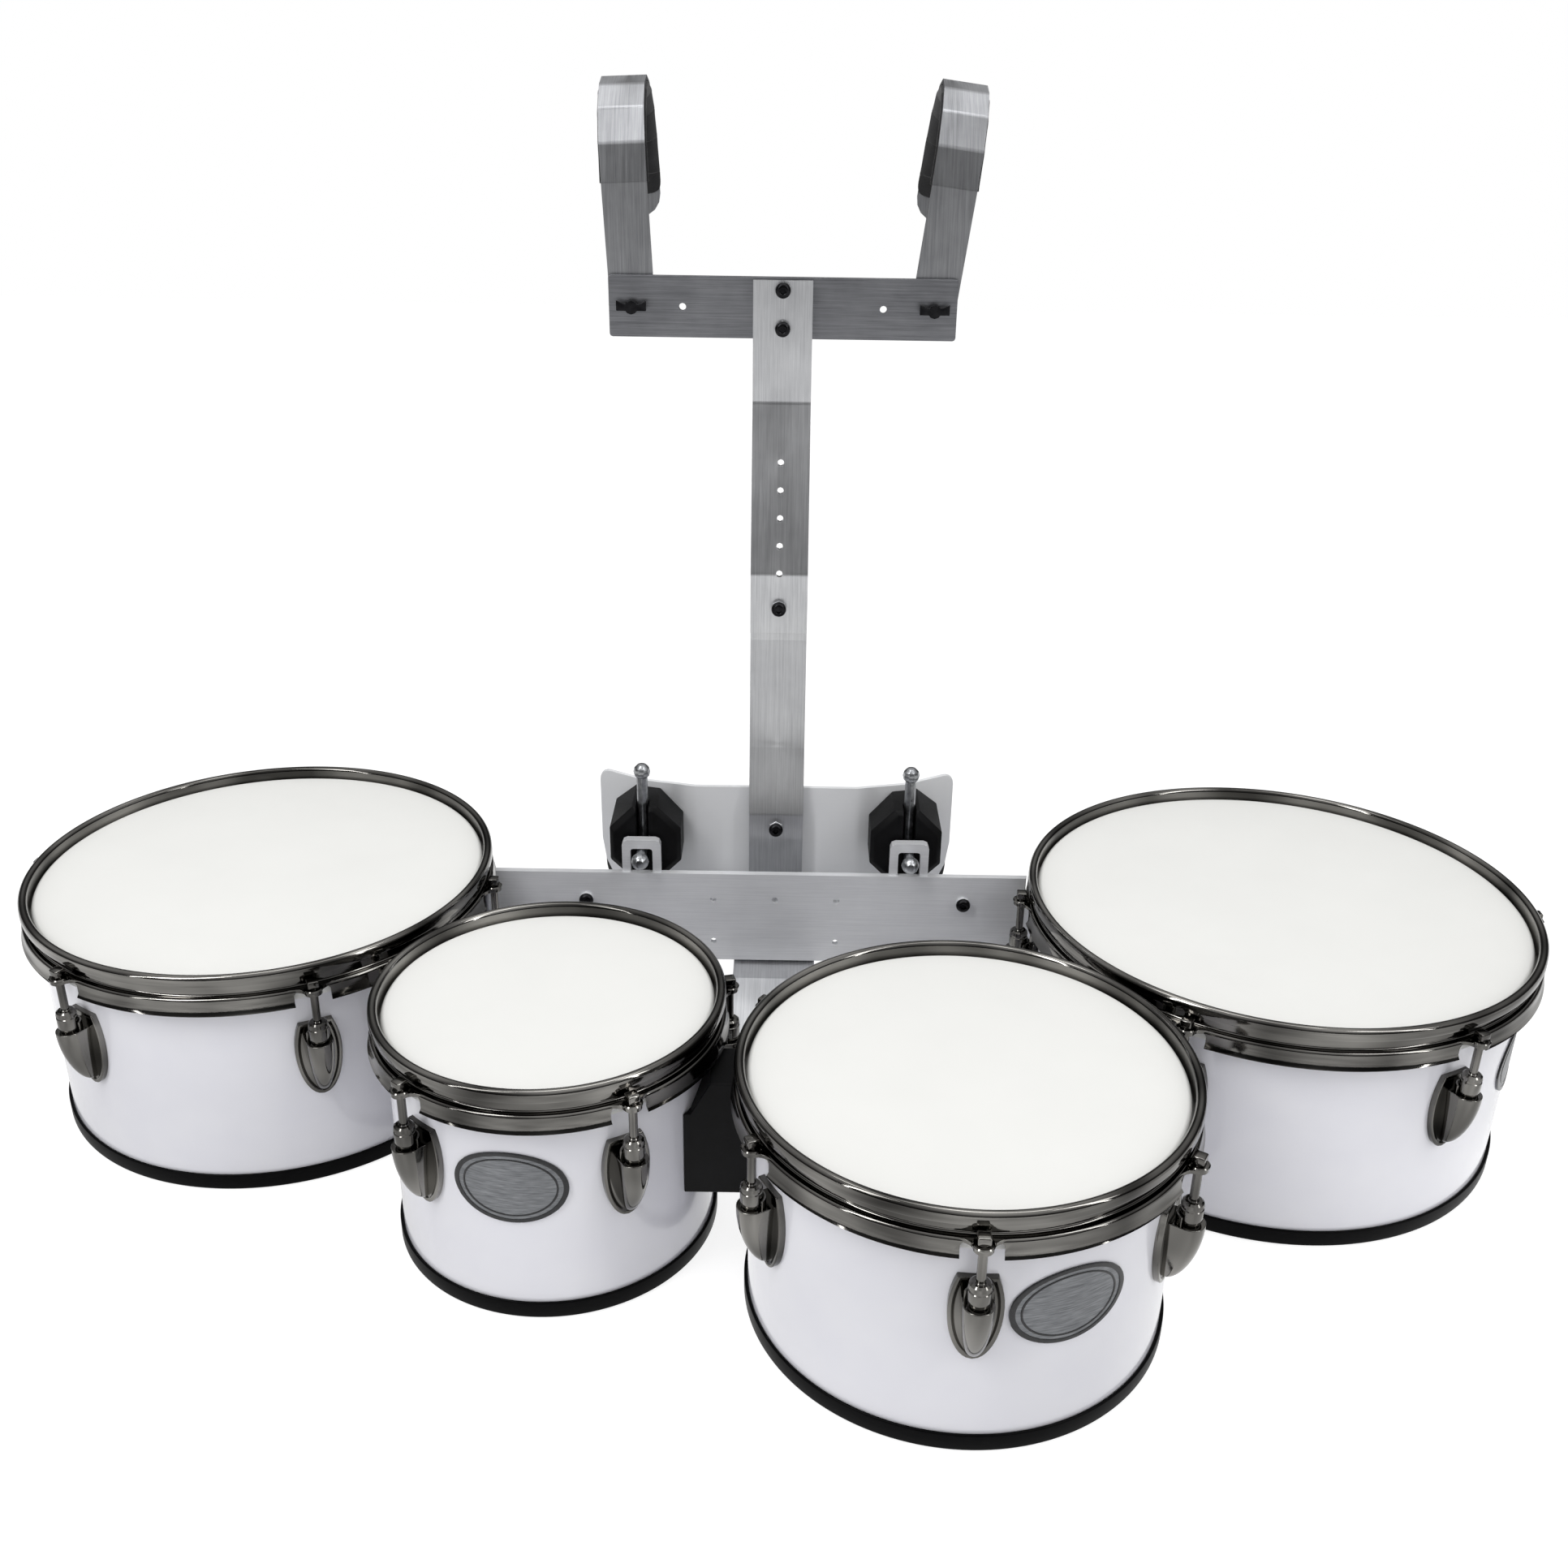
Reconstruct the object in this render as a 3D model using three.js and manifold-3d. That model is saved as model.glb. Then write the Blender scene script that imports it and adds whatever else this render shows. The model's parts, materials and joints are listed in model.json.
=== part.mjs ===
// Marching tenor drums: four drums of 8, 10, 12 and 13 inches on a shoulder carrier.
// Units are millimetres, +Z is up, and -Y is the side that faces the audience.
// The layout is drawn about the carrier's middle plane (x = 0) and the rear bar's middle (y = 0),
// with z = 0 on the floor, and is centred over the floor at the end.

import * as THREE from 'three';
import { mergeVertices } from 'three/addons/utils/BufferGeometryUtils.js';
import Module from 'manifold-3d';

const wasm = await Module();
wasm.setup();

// Shared allowances
const seatGap = 0.3;
const runningGap = 0.45;
const cutOverrun = 4;
const weldTolerance = 0.0001;
const flatTolerance = 0.01;
const half = 0.5;
const degree = Math.PI / 180;
const quarterTurn = 90;
const halfTurn = 180;
const fullTurn = 360;

// Head diameters: 8, 10, 12 and 13 inches
const eightInchHead = 203.2;
const tenInchHead = 254;
const twelveInchHead = 304.8;
const thirteenInchHead = 330.2;

// The four drums: head, lugs counted from the front, faces of the round forms, and badge
const drums = [
  { name: 'drum_8', diameter: eightInchHead, lugs: 5, firstLugAngle: -40, sides: 28, badgeAngle: -7 },
  { name: 'drum_10', diameter: tenInchHead, lugs: 6, firstLugAngle: -62, sides: 28, badgeAngle: 22 },
  { name: 'drum_12', diameter: twelveInchHead, lugs: 6, firstLugAngle: -33, sides: 32, badgeAngle: null },
  { name: 'drum_13', diameter: thirteenInchHead, lugs: 6, firstLugAngle: -33, sides: 32, badgeAngle: 60 },
];

// Places of the drums: the small pair nests about one point, and each large drum lies off a small one
const nestX = -24.2;
const nestY = -212.9;
const nestAngle = -15.4;
const nestSpacing = 12.8;
const leftDrumAngle = 144.2;
const leftDrumSpacing = 5.8;
const rightDrumAngle = 40.9;
const rightDrumSpacing = 2.7;

// Drum body heights and walls
const rimHeight = 170;
const shellWall = 6;
const shellUndersize = 0.5;
const bearingEdgeDrop = 4.5;
const bearingPeakInset = 1.6;
const bearingPeakDrop = 1.8;

// Edge ring at the foot of each shell
const ringHeight = 12;
const ringWall = 2;
const ringFloor = 2;

// Head: film, collar and the flesh hoop that holds it
const headDrop = 7.5;
const filmThickness = 1;
const collarDepth = 3;
const fleshHoopWidth = 4.2;
const fleshHoopHeight = 6.5;

// Triple-flanged counterhoop
const hoopSheet = 1.8;
const hoopHeight = 28;
const hoopStepDepth = 15.8;
const hoopThroat = 2;
const rimLipReach = 6;
const rimLipDrop = 4;
const hoopStepReach = 6.5;
const skirtFlare = 1.5;

// Ears of the counterhoop and the tension rods that pass through them
const rodOffset = 12.5;
const rodRadius = 2.7;
const earEndRadius = 5.5;
const earRootWidth = 30;
const earThickness = 2.4;
const notchWidth = 23;
const rodHeadSquare = 7.4;
const rodHeadHeight = 7;
const washerRadius = 6;
const washerThickness = 1.6;

// Lug casings: an egg-shaped flange, a bullet nose with a ledge on top, and the nut that sits on it
const lugHeight = 56;
const lugHeadroom = 21;
const fleshFoot = rimHeight - hoopStepDepth - hoopSheet - seatGap - fleshHoopHeight;
const lugFoot = fleshFoot - lugHeadroom - lugHeight;
const lugWidth = 30;
const lugFlange = 3.4;
const lugBellyShare = 0.62;
const lugDrawShare = 0.28;
const lugTipPower = 1.5;
const noseFoot = 9;
const noseTopDrop = 8.6;
const noseTop = lugHeight - noseTopDrop;
const noseTopRadius = 8.6;
const noseFootRadius = 4.4;
const noseWeb = 11;
const nutRadius = 6.8;
const nutHeight = 15;
const lugSeatSides = 36;

// Oval badges, left bare
const badgeWidth = 73;
const badgeHeight = 50;
const badgeThickness = 1.4;
const badgeRise = 28.4;
const badgeCentre = lugFoot + badgeRise;

// Rear bar between the two large drums
const barThickness = 5;
const barHeight = 72;
const barDrop = 16;
const barTop = rimHeight - barDrop;
const barFoot = barTop - barHeight;
const barBendRadius = 8;
const barFlangeLength = 40;
const leftFlangeAngle = 15;
const rightFlangeAngle = 156;
const barHolePitch = 45;
const barHoleRadius = 2.4;
const barUpperInset = 21;
const barLowerInset = 16;
const barBoltRadius = 5;
const barBoltHead = 3;
const barBoltSetout = 40.5;

// Upright: two flat bars that lap at one bolt
const uprightWidth = 40;
const uprightSheet = 4;
const uprightFrontY = 31;
const uprightFootRise = 6;
const uprightFoot = barFoot + uprightFootRise;
const uprightBendRadius = 12;
const boltRadius = 3;
const boltHeadRadius = 5;
const boltHeadHeight = 3.2;

// Belly plate with a middle facet, two slanted facets and two wings, on two bolts with spacers
const plateThickness = 3;
const plateSpacing = 5;
const plateY = uprightFrontY + uprightSheet + plateSpacing;
const spacerRadius = 8;
const plateFacetX = 60;
const plateSlantWidth = 37;
const plateSlantX = plateFacetX + plateSlantWidth;
const plateSlantSetback = 9;
const plateWingWidth = 36.5;
const plateWingX = plateSlantX + plateWingWidth;
const plateWingSetback = 30;
const plateHeight = 116.5;
const plateFoot = uprightFoot;
const plateTop = plateFoot + plateHeight;
const plateBendRadius = 20;
const plateTopCorner = 9;
const plateFootCorner = 58;
const lowerPlateBoltRise = 30;
const upperPlateBoltRise = 87.5;
const plateBoltHeights = [plateFoot + lowerPlateBoltRise, plateFoot + upperPlateBoltRise];

// Lower upright: two leans back, and the lap
const leanClearance = 2.5;
const lowerLeanHeight = 50;
const upperLeanHeight = 80;
const lowerLeanShare = 0.5;
const lapClearance = 6.5;
const lapBoltRise = 19.1;
const lapBoltMargin = 10.4;
const lowerBendFoot = plateBoltHeights[1] + spacerRadius + leanClearance;
const lowerBendMiddle = lowerBendFoot + lowerLeanHeight;
const lowerBendTop = lowerBendMiddle + upperLeanHeight;
const upperFoot = lowerBendTop + lapClearance;
const lapBoltHeight = upperFoot + lapBoltRise;
const lowerTop = lapBoltHeight + lapBoltMargin;

// Upper upright: bends, setback and the row of height holes
const lapSetback = 14;
const upperFrontY = uprightFrontY + lapSetback;
const upperBendRise = 13;
const upperBendFoot = lowerTop + upperBendRise;
const setbackHeight = 112;
const upperBendTop = upperBendFoot + setbackHeight;
const upperSetback = 34;
const heightHoleRise = 14;
const heightHoleFoot = lowerTop + heightHoleRise;
const heightHolePitch = 19;
const heightHoleCount = 5;
const heightHoleRadius = 2.4;

// Belly pad
const padThickness = 15;
const padInset = 6;
const padRollPower = 4;
const padRimShare = 0.14;
const padEndShare = 0.22;
const padCornerShare = 0.24;

// Clamps on the belly plate that guide the hook rods
const clampWidth = 52;
const clampHeight = 60;
const clampTopInset = 4.5;
const clampTop = plateTop - clampTopInset;
const clampFoot = clampTop - clampHeight;
const clampCorner = 17;
const clampFrontY = 10;
const clampRimChamfer = 3;
const clampInset = 2;

// Hook rods: ball, upright leg, and a run forward over the rear bar to a knob
const hookX = plateSlantX;
const hookRodRadius = 4;
const hookRodDepth = 10;
const hookRodY = clampFrontY + hookRodDepth;
const hookKnobRadius = 6.5;
const hookKnobClearance = 2;
const hookKnobY = -(barThickness / 2 + hookKnobClearance + hookKnobRadius);
const hookBarClearance = 10;
const hookRunHeight = barTop + hookBarClearance + hookRodRadius;
const hookBendRadius = 9;
const hookBallRise = 25;
const hookBallHeight = clampTop + hookBallRise;
const hookBallRadius = 6.2;
const clampX = hookX - clampInset;
const barBoltX = hookX + barBoltSetout;

// Receivers on the rear bar: upside-down U plates that hang on the forward run of the hook rods
const receiverWidth = 28;
const receiverOpening = 16;
const receiverSheet = 4;
const receiverBridge = 7;
const receiverFootRise = 10;
const receiverFoot = barFoot + receiverFootRise;
const receiverCorner = 4;

// Moulded block that carries the two small drums
const blockRearReach = 14.9;
const blockFrontReach = 23.1;
const blockRear = nestY + blockRearReach;
const blockFront = nestY - blockFrontReach;
const blockHeadroom = 4;
const blockTop = rimHeight - hoopHeight - blockHeadroom;
const blockShoulderDrop = 22;
const blockShoulder = blockTop - blockShoulderDrop;
const blockShoulderSetout = 11.8;
const blockShoulderX = nestX - blockShoulderSetout;
const blockShoulderRun = 12;

// Arm from the rear bar to the block
const armSheet = 5;
const armRearHalfWidth = 30;
const armLeftReach = 9.8;
const armRightReach = 17.2;
const armFrontLeft = nestX - armLeftReach;
const armFrontRight = nestX + armRightReach;
const armRearLap = 44;
const armRearRun = 24;
const armSteadyRun = 18;
const armLowRun = 72;
const armDropEnd = blockRear + armLowRun;
const armDropHeight = 35;
const armLowHeight = barFoot - armDropHeight;
const armBendRadius = 4;
const armBendClearance = 2.2;
const armFlangeHeight = 53;
const armFlangeTop = armLowHeight + armFlangeHeight;
const armBoltRadius = 4;
const armBoltHead = 3;
const blockFootRise = 10;
const blockFoot = armLowHeight + blockFootRise;

// Crossbar
const crossbarLength = 234;
const crossbarHeight = 40;
const crossbarRise = 62.5;
const crossbarCentre = upperBendTop + crossbarRise;
const crossbarTopReach = 1.5;
const upperTop = crossbarCentre + crossbarHeight / 2 - crossbarTopReach;
const crossbarSheet = 4;
const crossbarBoltSpacing = 25;
const crossbarHoleRadius = 2.5;
const crossbarCorner = 2;

// Shoulder hooks
const pivotEndMargin = 15.5;
const shoulderPivotX = crossbarLength / 2 - pivotEndMargin;
const pivotHoleSpacing = 34;
const crossbarHoleX = shoulderPivotX - pivotHoleSpacing;
const shoulderWidth = 30;
const shoulderSheet = 3;
const shoulderRise = 77.5;
const shoulderHalfDepth = 50;
const shoulderHalfHeight = 62;
const shoulderRearDrop = 15;
const shoulderFacets = 8;
const shoulderBendRadius = 7;
const leftLeanAngle = 2.7;
const rightLeanAngle = 7.3;
const weldNutRadius = 6;
const weldNutHeight = 5;

// Shoulder pads
const shoulderPadWidth = 34;
const shoulderPadThickness = 11;
const shoulderPadRollPower = 4;
const shoulderPadRimShare = 0.15;
const shoulderPadEndShare = 0.3;

// Wing screws
const wingScrewRadius = 3;
const wingHubRadius = 4.6;
const wingHubLength = 7;
const wingSpan = 20;
const wingHeight = 9;
const wingSheet = 2.4;
const wingWaistShare = 0.5;

// Materials
const finish = {
  gloss: { color: 0xf1f1f4, roughness: 0.18, metalness: 0 },
  film: { color: 0xf4f3f1, roughness: 0.55, metalness: 0 },
  blackNickel: { color: 0x5c5b57, roughness: 0.2, metalness: 1 },
  edge: { color: 0x141416, roughness: 0.6, metalness: 0 },
  aluminium: { color: 0xb9babd, roughness: 0.36, metalness: 1 },
  badge: { color: 0x8d8f90, roughness: 0.35, metalness: 0.9 },
  moulded: { color: 0x111113, roughness: 0.5, metalness: 0 },
  steel: { color: 0x8b8d90, roughness: 0.3, metalness: 1 },
  foam: { color: 0x0e0e0f, roughness: 0.95, metalness: 0 },
};

// Solids and booleans

function toSolid(geometry) {
  const bare = new THREE.BufferGeometry();
  bare.setAttribute('position', geometry.getAttribute('position'));
  if (geometry.index) bare.setIndex(geometry.index);
  const merged = mergeVertices(bare, weldTolerance);
  return new wasm.Manifold(new wasm.Mesh({
    numProp: 3,
    vertProperties: Float32Array.from(merged.getAttribute('position').array),
    triVerts: Uint32Array.from(merged.index.array),
  }));
}

function toGeometry(solid) {
  const mesh = solid.asOriginal().simplify(flatTolerance).getMesh();
  const geometry = new THREE.BufferGeometry();
  geometry.setAttribute('position', new THREE.BufferAttribute(mesh.vertProperties.slice(), 3));
  geometry.setIndex(new THREE.BufferAttribute(mesh.triVerts.slice(), 1));
  geometry.computeVertexNormals();
  return geometry;
}

const join = (solids) => solids.reduce((sum, next) => sum.add(next));
const cut = (solid, tools) => tools.reduce((rest, tool) => rest.subtract(tool), solid);

// Turned ring or disc about Z from an (r, z) outline; an outline off the axis closes on itself
function turned(outline, sides) {
  const points = THREE.ShapeUtils.area(outline) < 0 ? outline.slice().reverse() : outline.slice();
  const onAxis = points.filter((p) => p.x === 0).length;
  if (onAxis === 0) points.push(points[0].clone());
  while (onAxis && !(points[0].x === 0 && points[points.length - 1].x === 0)) {
    points.push(points.shift());
  }
  return new THREE.LatheGeometry(points, sides).rotateX(Math.PI / 2);
}

const outlineOf = (pairs) => pairs.map(([u, v]) => new THREE.Vector2(u, v));

// Prism of an outline in (x, y), standing from z = low to z = high
function prism(outline, low, high) {
  const shape = new THREE.Shape(outline);
  const geometry = new THREE.ExtrudeGeometry(shape, { depth: high - low, bevelEnabled: false });
  return geometry.translate(0, 0, low);
}

// The same prism laid along X: outline in (y, z), from x = low to x = high
function prismAlongX(outline, low, high) {
  const basis = new THREE.Matrix4().set(0, 0, 1, 0, 1, 0, 0, 0, 0, 1, 0, 0, 0, 0, 0, 1);
  return prism(outline, low, high).applyMatrix4(basis);
}

// The same prism laid along Y: outline in (x, z), from y = low to y = high
function prismAlongY(outline, low, high) {
  return prism(outline, -high, -low).rotateX(Math.PI / 2);
}

function rod(radius, low, high, sides = 12) {
  const geometry = new THREE.CylinderGeometry(radius, radius, high - low, sides);
  return geometry.rotateX(Math.PI / 2).translate(0, 0, (low + high) / 2);
}

const rodAlongY = (radius, low, high, sides = 12) => rod(radius, -high, -low, sides).rotateX(Math.PI / 2);

function rectangle(left, low, right, high) {
  return outlineOf([[left, low], [right, low], [right, high], [left, high]]);
}

// Rectangle with its own radius at the foot and at the top corners
function roundedRectangle(left, low, right, high, footRadius, topRadius, steps = 5) {
  const corners = [
    [right - footRadius, low + footRadius, footRadius],
    [right - topRadius, high - topRadius, topRadius],
    [left + topRadius, high - topRadius, topRadius],
    [left + footRadius, low + footRadius, footRadius],
  ];
  return corners.flatMap(([cx, cy, radius], corner) => Array.from({ length: steps + 1 }, (_, i) => {
    const angle = (corner - 1 + i / steps) * quarterTurn * degree;
    return new THREE.Vector2(cx + radius * Math.cos(angle), cy + radius * Math.sin(angle));
  }));
}

// Rounds the inner corners of a polyline with arcs that are tangent to both legs
function roundedPath(points, radius, steps = 3) {
  const path = [points[0]];
  for (let i = 1; i < points.length - 1; i += 1) {
    const back = points[i - 1].clone().sub(points[i]).normalize();
    const ahead = points[i + 1].clone().sub(points[i]).normalize();
    const turn = Math.PI - back.angleTo(ahead);
    const setback = radius * Math.tan(turn / 2);
    const start = points[i].clone().addScaledVector(back, setback);
    const end = points[i].clone().addScaledVector(ahead, setback);
    for (let k = 0; k <= steps; k += 1) {
      const t = k / steps;
      const a = start.clone().lerp(points[i], t);
      const b = points[i].clone().lerp(end, t);
      path.push(a.lerp(b, t));
    }
  }
  path.push(points[points.length - 1]);
  return path;
}

// Mitred offset of a polyline to its left side
function offsetPath(points, distance) {
  const normals = points.slice(1).map((p, i) => {
    const along = p.clone().sub(points[i]).normalize();
    return new THREE.Vector2(-along.y, along.x);
  });
  return points.map((p, i) => {
    const before = normals[Math.max(i - 1, 0)];
    const after = normals[Math.min(i, normals.length - 1)];
    const mitre = before.clone().add(after).divideScalar(1 + before.dot(after));
    return p.clone().addScaledVector(mitre, distance);
  });
}

// Outline of a bent sheet that follows a path on its middle line
function bentSheet(path, thickness) {
  const left = offsetPath(path, thickness / 2);
  const right = offsetPath(path, -thickness / 2);
  return right.concat(left.reverse());
}

function mesh(name, source, material) {
  const geometry = source.isBufferGeometry ? source : toGeometry(source);
  const made = new THREE.Mesh(geometry, new THREE.MeshStandardMaterial(finish[material]));
  made.name = name;
  return made;
}

// Unit vector in plan at an angle counted from the front (-Y), positive towards +X
function planDirection(angle) {
  return new THREE.Vector2(Math.sin(angle * degree), -Math.cos(angle * degree));
}

// Drum pieces, each drawn about its drum's own axis

function drumSizes(drum) {
  const nominal = drum.diameter / 2;
  const shellOuter = nominal - shellUndersize;
  const filmTop = rimHeight - headDrop;
  const collarInner = shellOuter + seatGap;
  const collarOuter = collarInner + filmThickness;
  const throat = nominal + hoopThroat;
  const stepUnder = rimHeight - hoopStepDepth - hoopSheet;
  return {
    shellOuter,
    filmTop,
    collarInner,
    collarOuter,
    throat,
    stepUnder,
    shellTop: filmTop - filmThickness - seatGap,
    fleshTop: fleshFoot + fleshHoopHeight,
    stepTop: stepUnder + hoopSheet,
    skirtOuter: throat + hoopStepReach,
    lipRadius: throat + hoopStepReach + skirtFlare,
    rodCircle: nominal + rodOffset,
  };
}

function shellPiece(drum, size) {
  const inner = size.shellOuter - shellWall;
  return turned(outlineOf([
    [size.shellOuter, ringFloor + seatGap],
    [size.shellOuter, size.shellTop - bearingPeakDrop],
    [size.shellOuter - bearingPeakInset, size.shellTop],
    [inner, size.shellTop - bearingEdgeDrop],
    [inner, ringFloor + seatGap],
  ]), drum.sides);
}

function edgeRingPiece(drum, size) {
  const wallInner = size.shellOuter + seatGap;
  const lipInner = size.shellOuter - shellWall;
  return turned(outlineOf([
    [lipInner, 0],
    [wallInner + ringWall, 0],
    [wallInner + ringWall, ringHeight - ringWall],
    [wallInner, ringHeight],
    [wallInner, ringFloor],
    [lipInner, ringFloor],
  ]), drum.sides);
}

function headPiece(drum, size) {
  const filmUnder = size.filmTop - filmThickness;
  const fleshOuter = size.collarOuter + fleshHoopWidth;
  const shoulder = size.shellOuter - bearingPeakInset;
  return turned(outlineOf([
    [0, size.filmTop],
    [shoulder, size.filmTop],
    [size.collarOuter, size.filmTop - collarDepth],
    [size.collarOuter, size.fleshTop],
    [fleshOuter, size.fleshTop],
    [fleshOuter, fleshFoot],
    [size.collarInner, fleshFoot],
    [size.collarInner, filmUnder - collarDepth * half],
    [shoulder, filmUnder],
    [0, filmUnder],
  ]), drum.sides);
}

function lugAngles(drum) {
  return Array.from({ length: drum.lugs }, (_, i) => drum.firstLugAngle + (fullTurn * i) / drum.lugs);
}

// Counterhoop: rolled rim, wall, step over the flesh hoop, skirt, and an ear at each rod
function hoopPiece(drum, size) {
  const wallOuter = size.throat + hoopSheet;
  const skirtFoot = rimHeight - hoopHeight;
  const skirtInner = size.skirtOuter - hoopSheet;
  const ring = toSolid(turned(outlineOf([
    [size.throat, size.stepUnder],
    [size.throat, rimHeight - rimLipDrop],
    [size.throat + rimLipReach * half, rimHeight],
    [size.throat + rimLipReach, rimHeight - rimLipDrop * half],
    [wallOuter, rimHeight - rimLipDrop - hoopSheet],
    [wallOuter, size.stepTop],
    [size.skirtOuter, size.stepTop],
    [size.skirtOuter, skirtFoot + skirtFlare],
    [size.skirtOuter + skirtFlare, skirtFoot],
    [skirtInner, skirtFoot + skirtFlare],
    [skirtInner, size.stepUnder],
  ]), drum.sides));
  const notch = (angle) => toSolid(prism(
    rectangle(-notchWidth / 2, skirtInner - hoopSheet, notchWidth / 2, size.skirtOuter + cutOverrun),
    skirtFoot - cutOverrun,
    size.stepUnder,
  )).rotate([0, 0, angle + halfTurn]);
  const ears = lugAngles(drum).map((angle) => earSolid(size).rotate([0, 0, angle + halfTurn]));
  const holes = lugAngles(drum).map((angle) => {
    const place = planDirection(angle).multiplyScalar(size.rodCircle);
    return toSolid(rod(rodRadius + runningGap, size.stepUnder - cutOverrun, size.stepTop + cutOverrun, 8)
      .translate(place.x, place.y, 0));
  });
  const skirted = cut(ring, lugAngles(drum).map(notch));
  return cut(join([skirted, ...ears]), holes);
}

// One ear, drawn pointing along +Y: a tab that narrows to a round end about the rod
function earSolid(size) {
  const root = size.skirtOuter - hoopSheet;
  const steps = 4;
  const end = Array.from({ length: steps + 1 }, (_, i) => {
    const angle = Math.PI * (i / steps);
    return new THREE.Vector2(
      earEndRadius * Math.cos(angle),
      size.rodCircle + earEndRadius * Math.sin(angle),
    );
  });
  const outline = [
    new THREE.Vector2(-earRootWidth / 2, root),
    new THREE.Vector2(earRootWidth / 2, root),
    ...end,
  ];
  return toSolid(prism(outline, size.stepTop - earThickness, size.stepTop));
}

// Outline of the lug's flange in (x, z): a round tip, a belly, and sides drawn in to a flat top
function lugOutline(steps = 5) {
  const side = (sign) => Array.from({ length: steps }, (_, i) => {
    const rise = ((i + 1) / steps) ** lugTipPower;
    const spread = rise < lugBellyShare
      ? Math.sqrt(1 - (1 - rise / lugBellyShare) ** 2)
      : 1 - lugDrawShare * ((rise - lugBellyShare) / (1 - lugBellyShare)) ** 2;
    return new THREE.Vector2((sign * lugWidth * spread) / 2, lugFoot + lugHeight * rise);
  });
  return [new THREE.Vector2(0, lugFoot), ...side(1), ...side(-1).reverse()];
}

// Lug casing with its tension rod, drawn with the rod's axis on +Y from the drum's axis
function lugPiece(drum, size) {
  const face = size.shellOuter;
  const base = toSolid(prismAlongY(lugOutline(), face - cutOverrun, face + lugFlange));
  const web = toSolid(prismAlongX(outlineOf([
    [face, lugFoot + noseFoot],
    [size.rodCircle, lugFoot + noseFoot],
    [size.rodCircle, lugFoot + noseTop],
    [face, lugFoot + noseTop],
  ]), -noseWeb / 2, noseWeb / 2));
  const ledge = lugFoot + noseTop;
  const headFoot = size.stepTop + seatGap;
  const noseAndRod = toSolid(turned(outlineOf([
    [0, lugFoot + noseFoot - noseFootRadius],
    [noseFootRadius, lugFoot + noseFoot],
    [noseTopRadius, ledge],
    [nutRadius, ledge],
    [nutRadius, ledge + nutHeight],
    [rodRadius, ledge + nutHeight],
    [rodRadius, headFoot],
    [washerRadius, headFoot],
    [washerRadius, headFoot + washerThickness],
    [0, headFoot + washerThickness],
  ]), 8).translate(0, size.rodCircle, 0));
  const square = toSolid(prism(
    rectangle(
      -rodHeadSquare / 2,
      size.rodCircle - rodHeadSquare / 2,
      rodHeadSquare / 2,
      size.rodCircle + rodHeadSquare / 2,
    ),
    headFoot,
    headFoot + rodHeadHeight,
  ));
  const whole = join([base, web, noseAndRod, square]);
  return whole.subtract(shellCutter(size, lugSeatSides));
}

// Cylinder that clears the drum shell, with flats outside the shell's radius
function shellCutter(size, sides) {
  const radius = (size.shellOuter + seatGap) / Math.cos(Math.PI / sides);
  return toSolid(rod(radius, -cutOverrun, size.shellTop, sides));
}

function badgePiece(size) {
  const steps = 20;
  const oval = Array.from({ length: steps }, (_, i) => {
    const angle = (2 * Math.PI * i) / steps;
    return new THREE.Vector2(
      (badgeWidth / 2) * Math.cos(angle),
      badgeCentre + (badgeHeight / 2) * Math.sin(angle),
    );
  });
  const sides = 60;
  const skin = toSolid(rod(size.shellOuter + seatGap + badgeThickness, 0, rimHeight, sides));
  const plug = toSolid(prismAlongY(oval, size.shellOuter * half, size.shellOuter + cutOverrun));
  return skin.intersect(plug).subtract(shellCutter(size, sides));
}

function drumGroup(drum) {
  const size = drumSizes(drum);
  const group = new THREE.Group();
  group.position.set(drum.place.x, drum.place.y, 0);
  group.add(
    mesh(`${drum.name}_shell`, shellPiece(drum, size), 'gloss'),
    mesh(`${drum.name}_head`, headPiece(drum, size), 'film'),
    mesh(`${drum.name}_hoop`, hoopPiece(drum, size), 'blackNickel'),
    mesh(`${drum.name}_edge_ring`, edgeRingPiece(drum, size), 'edge'),
  );
  lugAngles(drum).forEach((angle, i) => {
    const lug = mesh(`${drum.name}_lug_${i + 1}`, lugPiece(drum, size), 'blackNickel');
    lug.rotation.z = (angle + halfTurn) * degree;
    group.add(lug);
  });
  if (drum.badgeAngle !== null) {
    const badge = mesh(`${drum.name}_badge`, badgePiece(size), 'badge');
    badge.rotation.z = (drum.badgeAngle + halfTurn) * degree;
    group.add(badge);
  }
  return group;
}

// Frame that stays with the drums

const [smallDrum, secondDrum, leftDrum, rightDrum] = drums;

// Sets the drums' axes: hoops of neighbours stand a small spacing apart
function placeDrums() {
  const toward = (angle) => new THREE.Vector2(Math.cos(angle * degree), Math.sin(angle * degree));
  const lip = (drum) => drumSizes(drum).lipRadius;
  const nest = new THREE.Vector2(nestX, nestY);
  const small = nest.clone().addScaledVector(toward(nestAngle), -(lip(smallDrum) + nestSpacing / 2));
  const second = nest.clone().addScaledVector(toward(nestAngle), lip(secondDrum) + nestSpacing / 2);
  smallDrum.place = small;
  secondDrum.place = second;
  leftDrum.place = small.clone().addScaledVector(
    toward(leftDrumAngle),
    lip(smallDrum) + lip(leftDrum) + leftDrumSpacing,
  );
  rightDrum.place = second.clone().addScaledVector(
    toward(rightDrumAngle),
    lip(secondDrum) + lip(rightDrum) + rightDrumSpacing,
  );
}

placeDrums();

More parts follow.
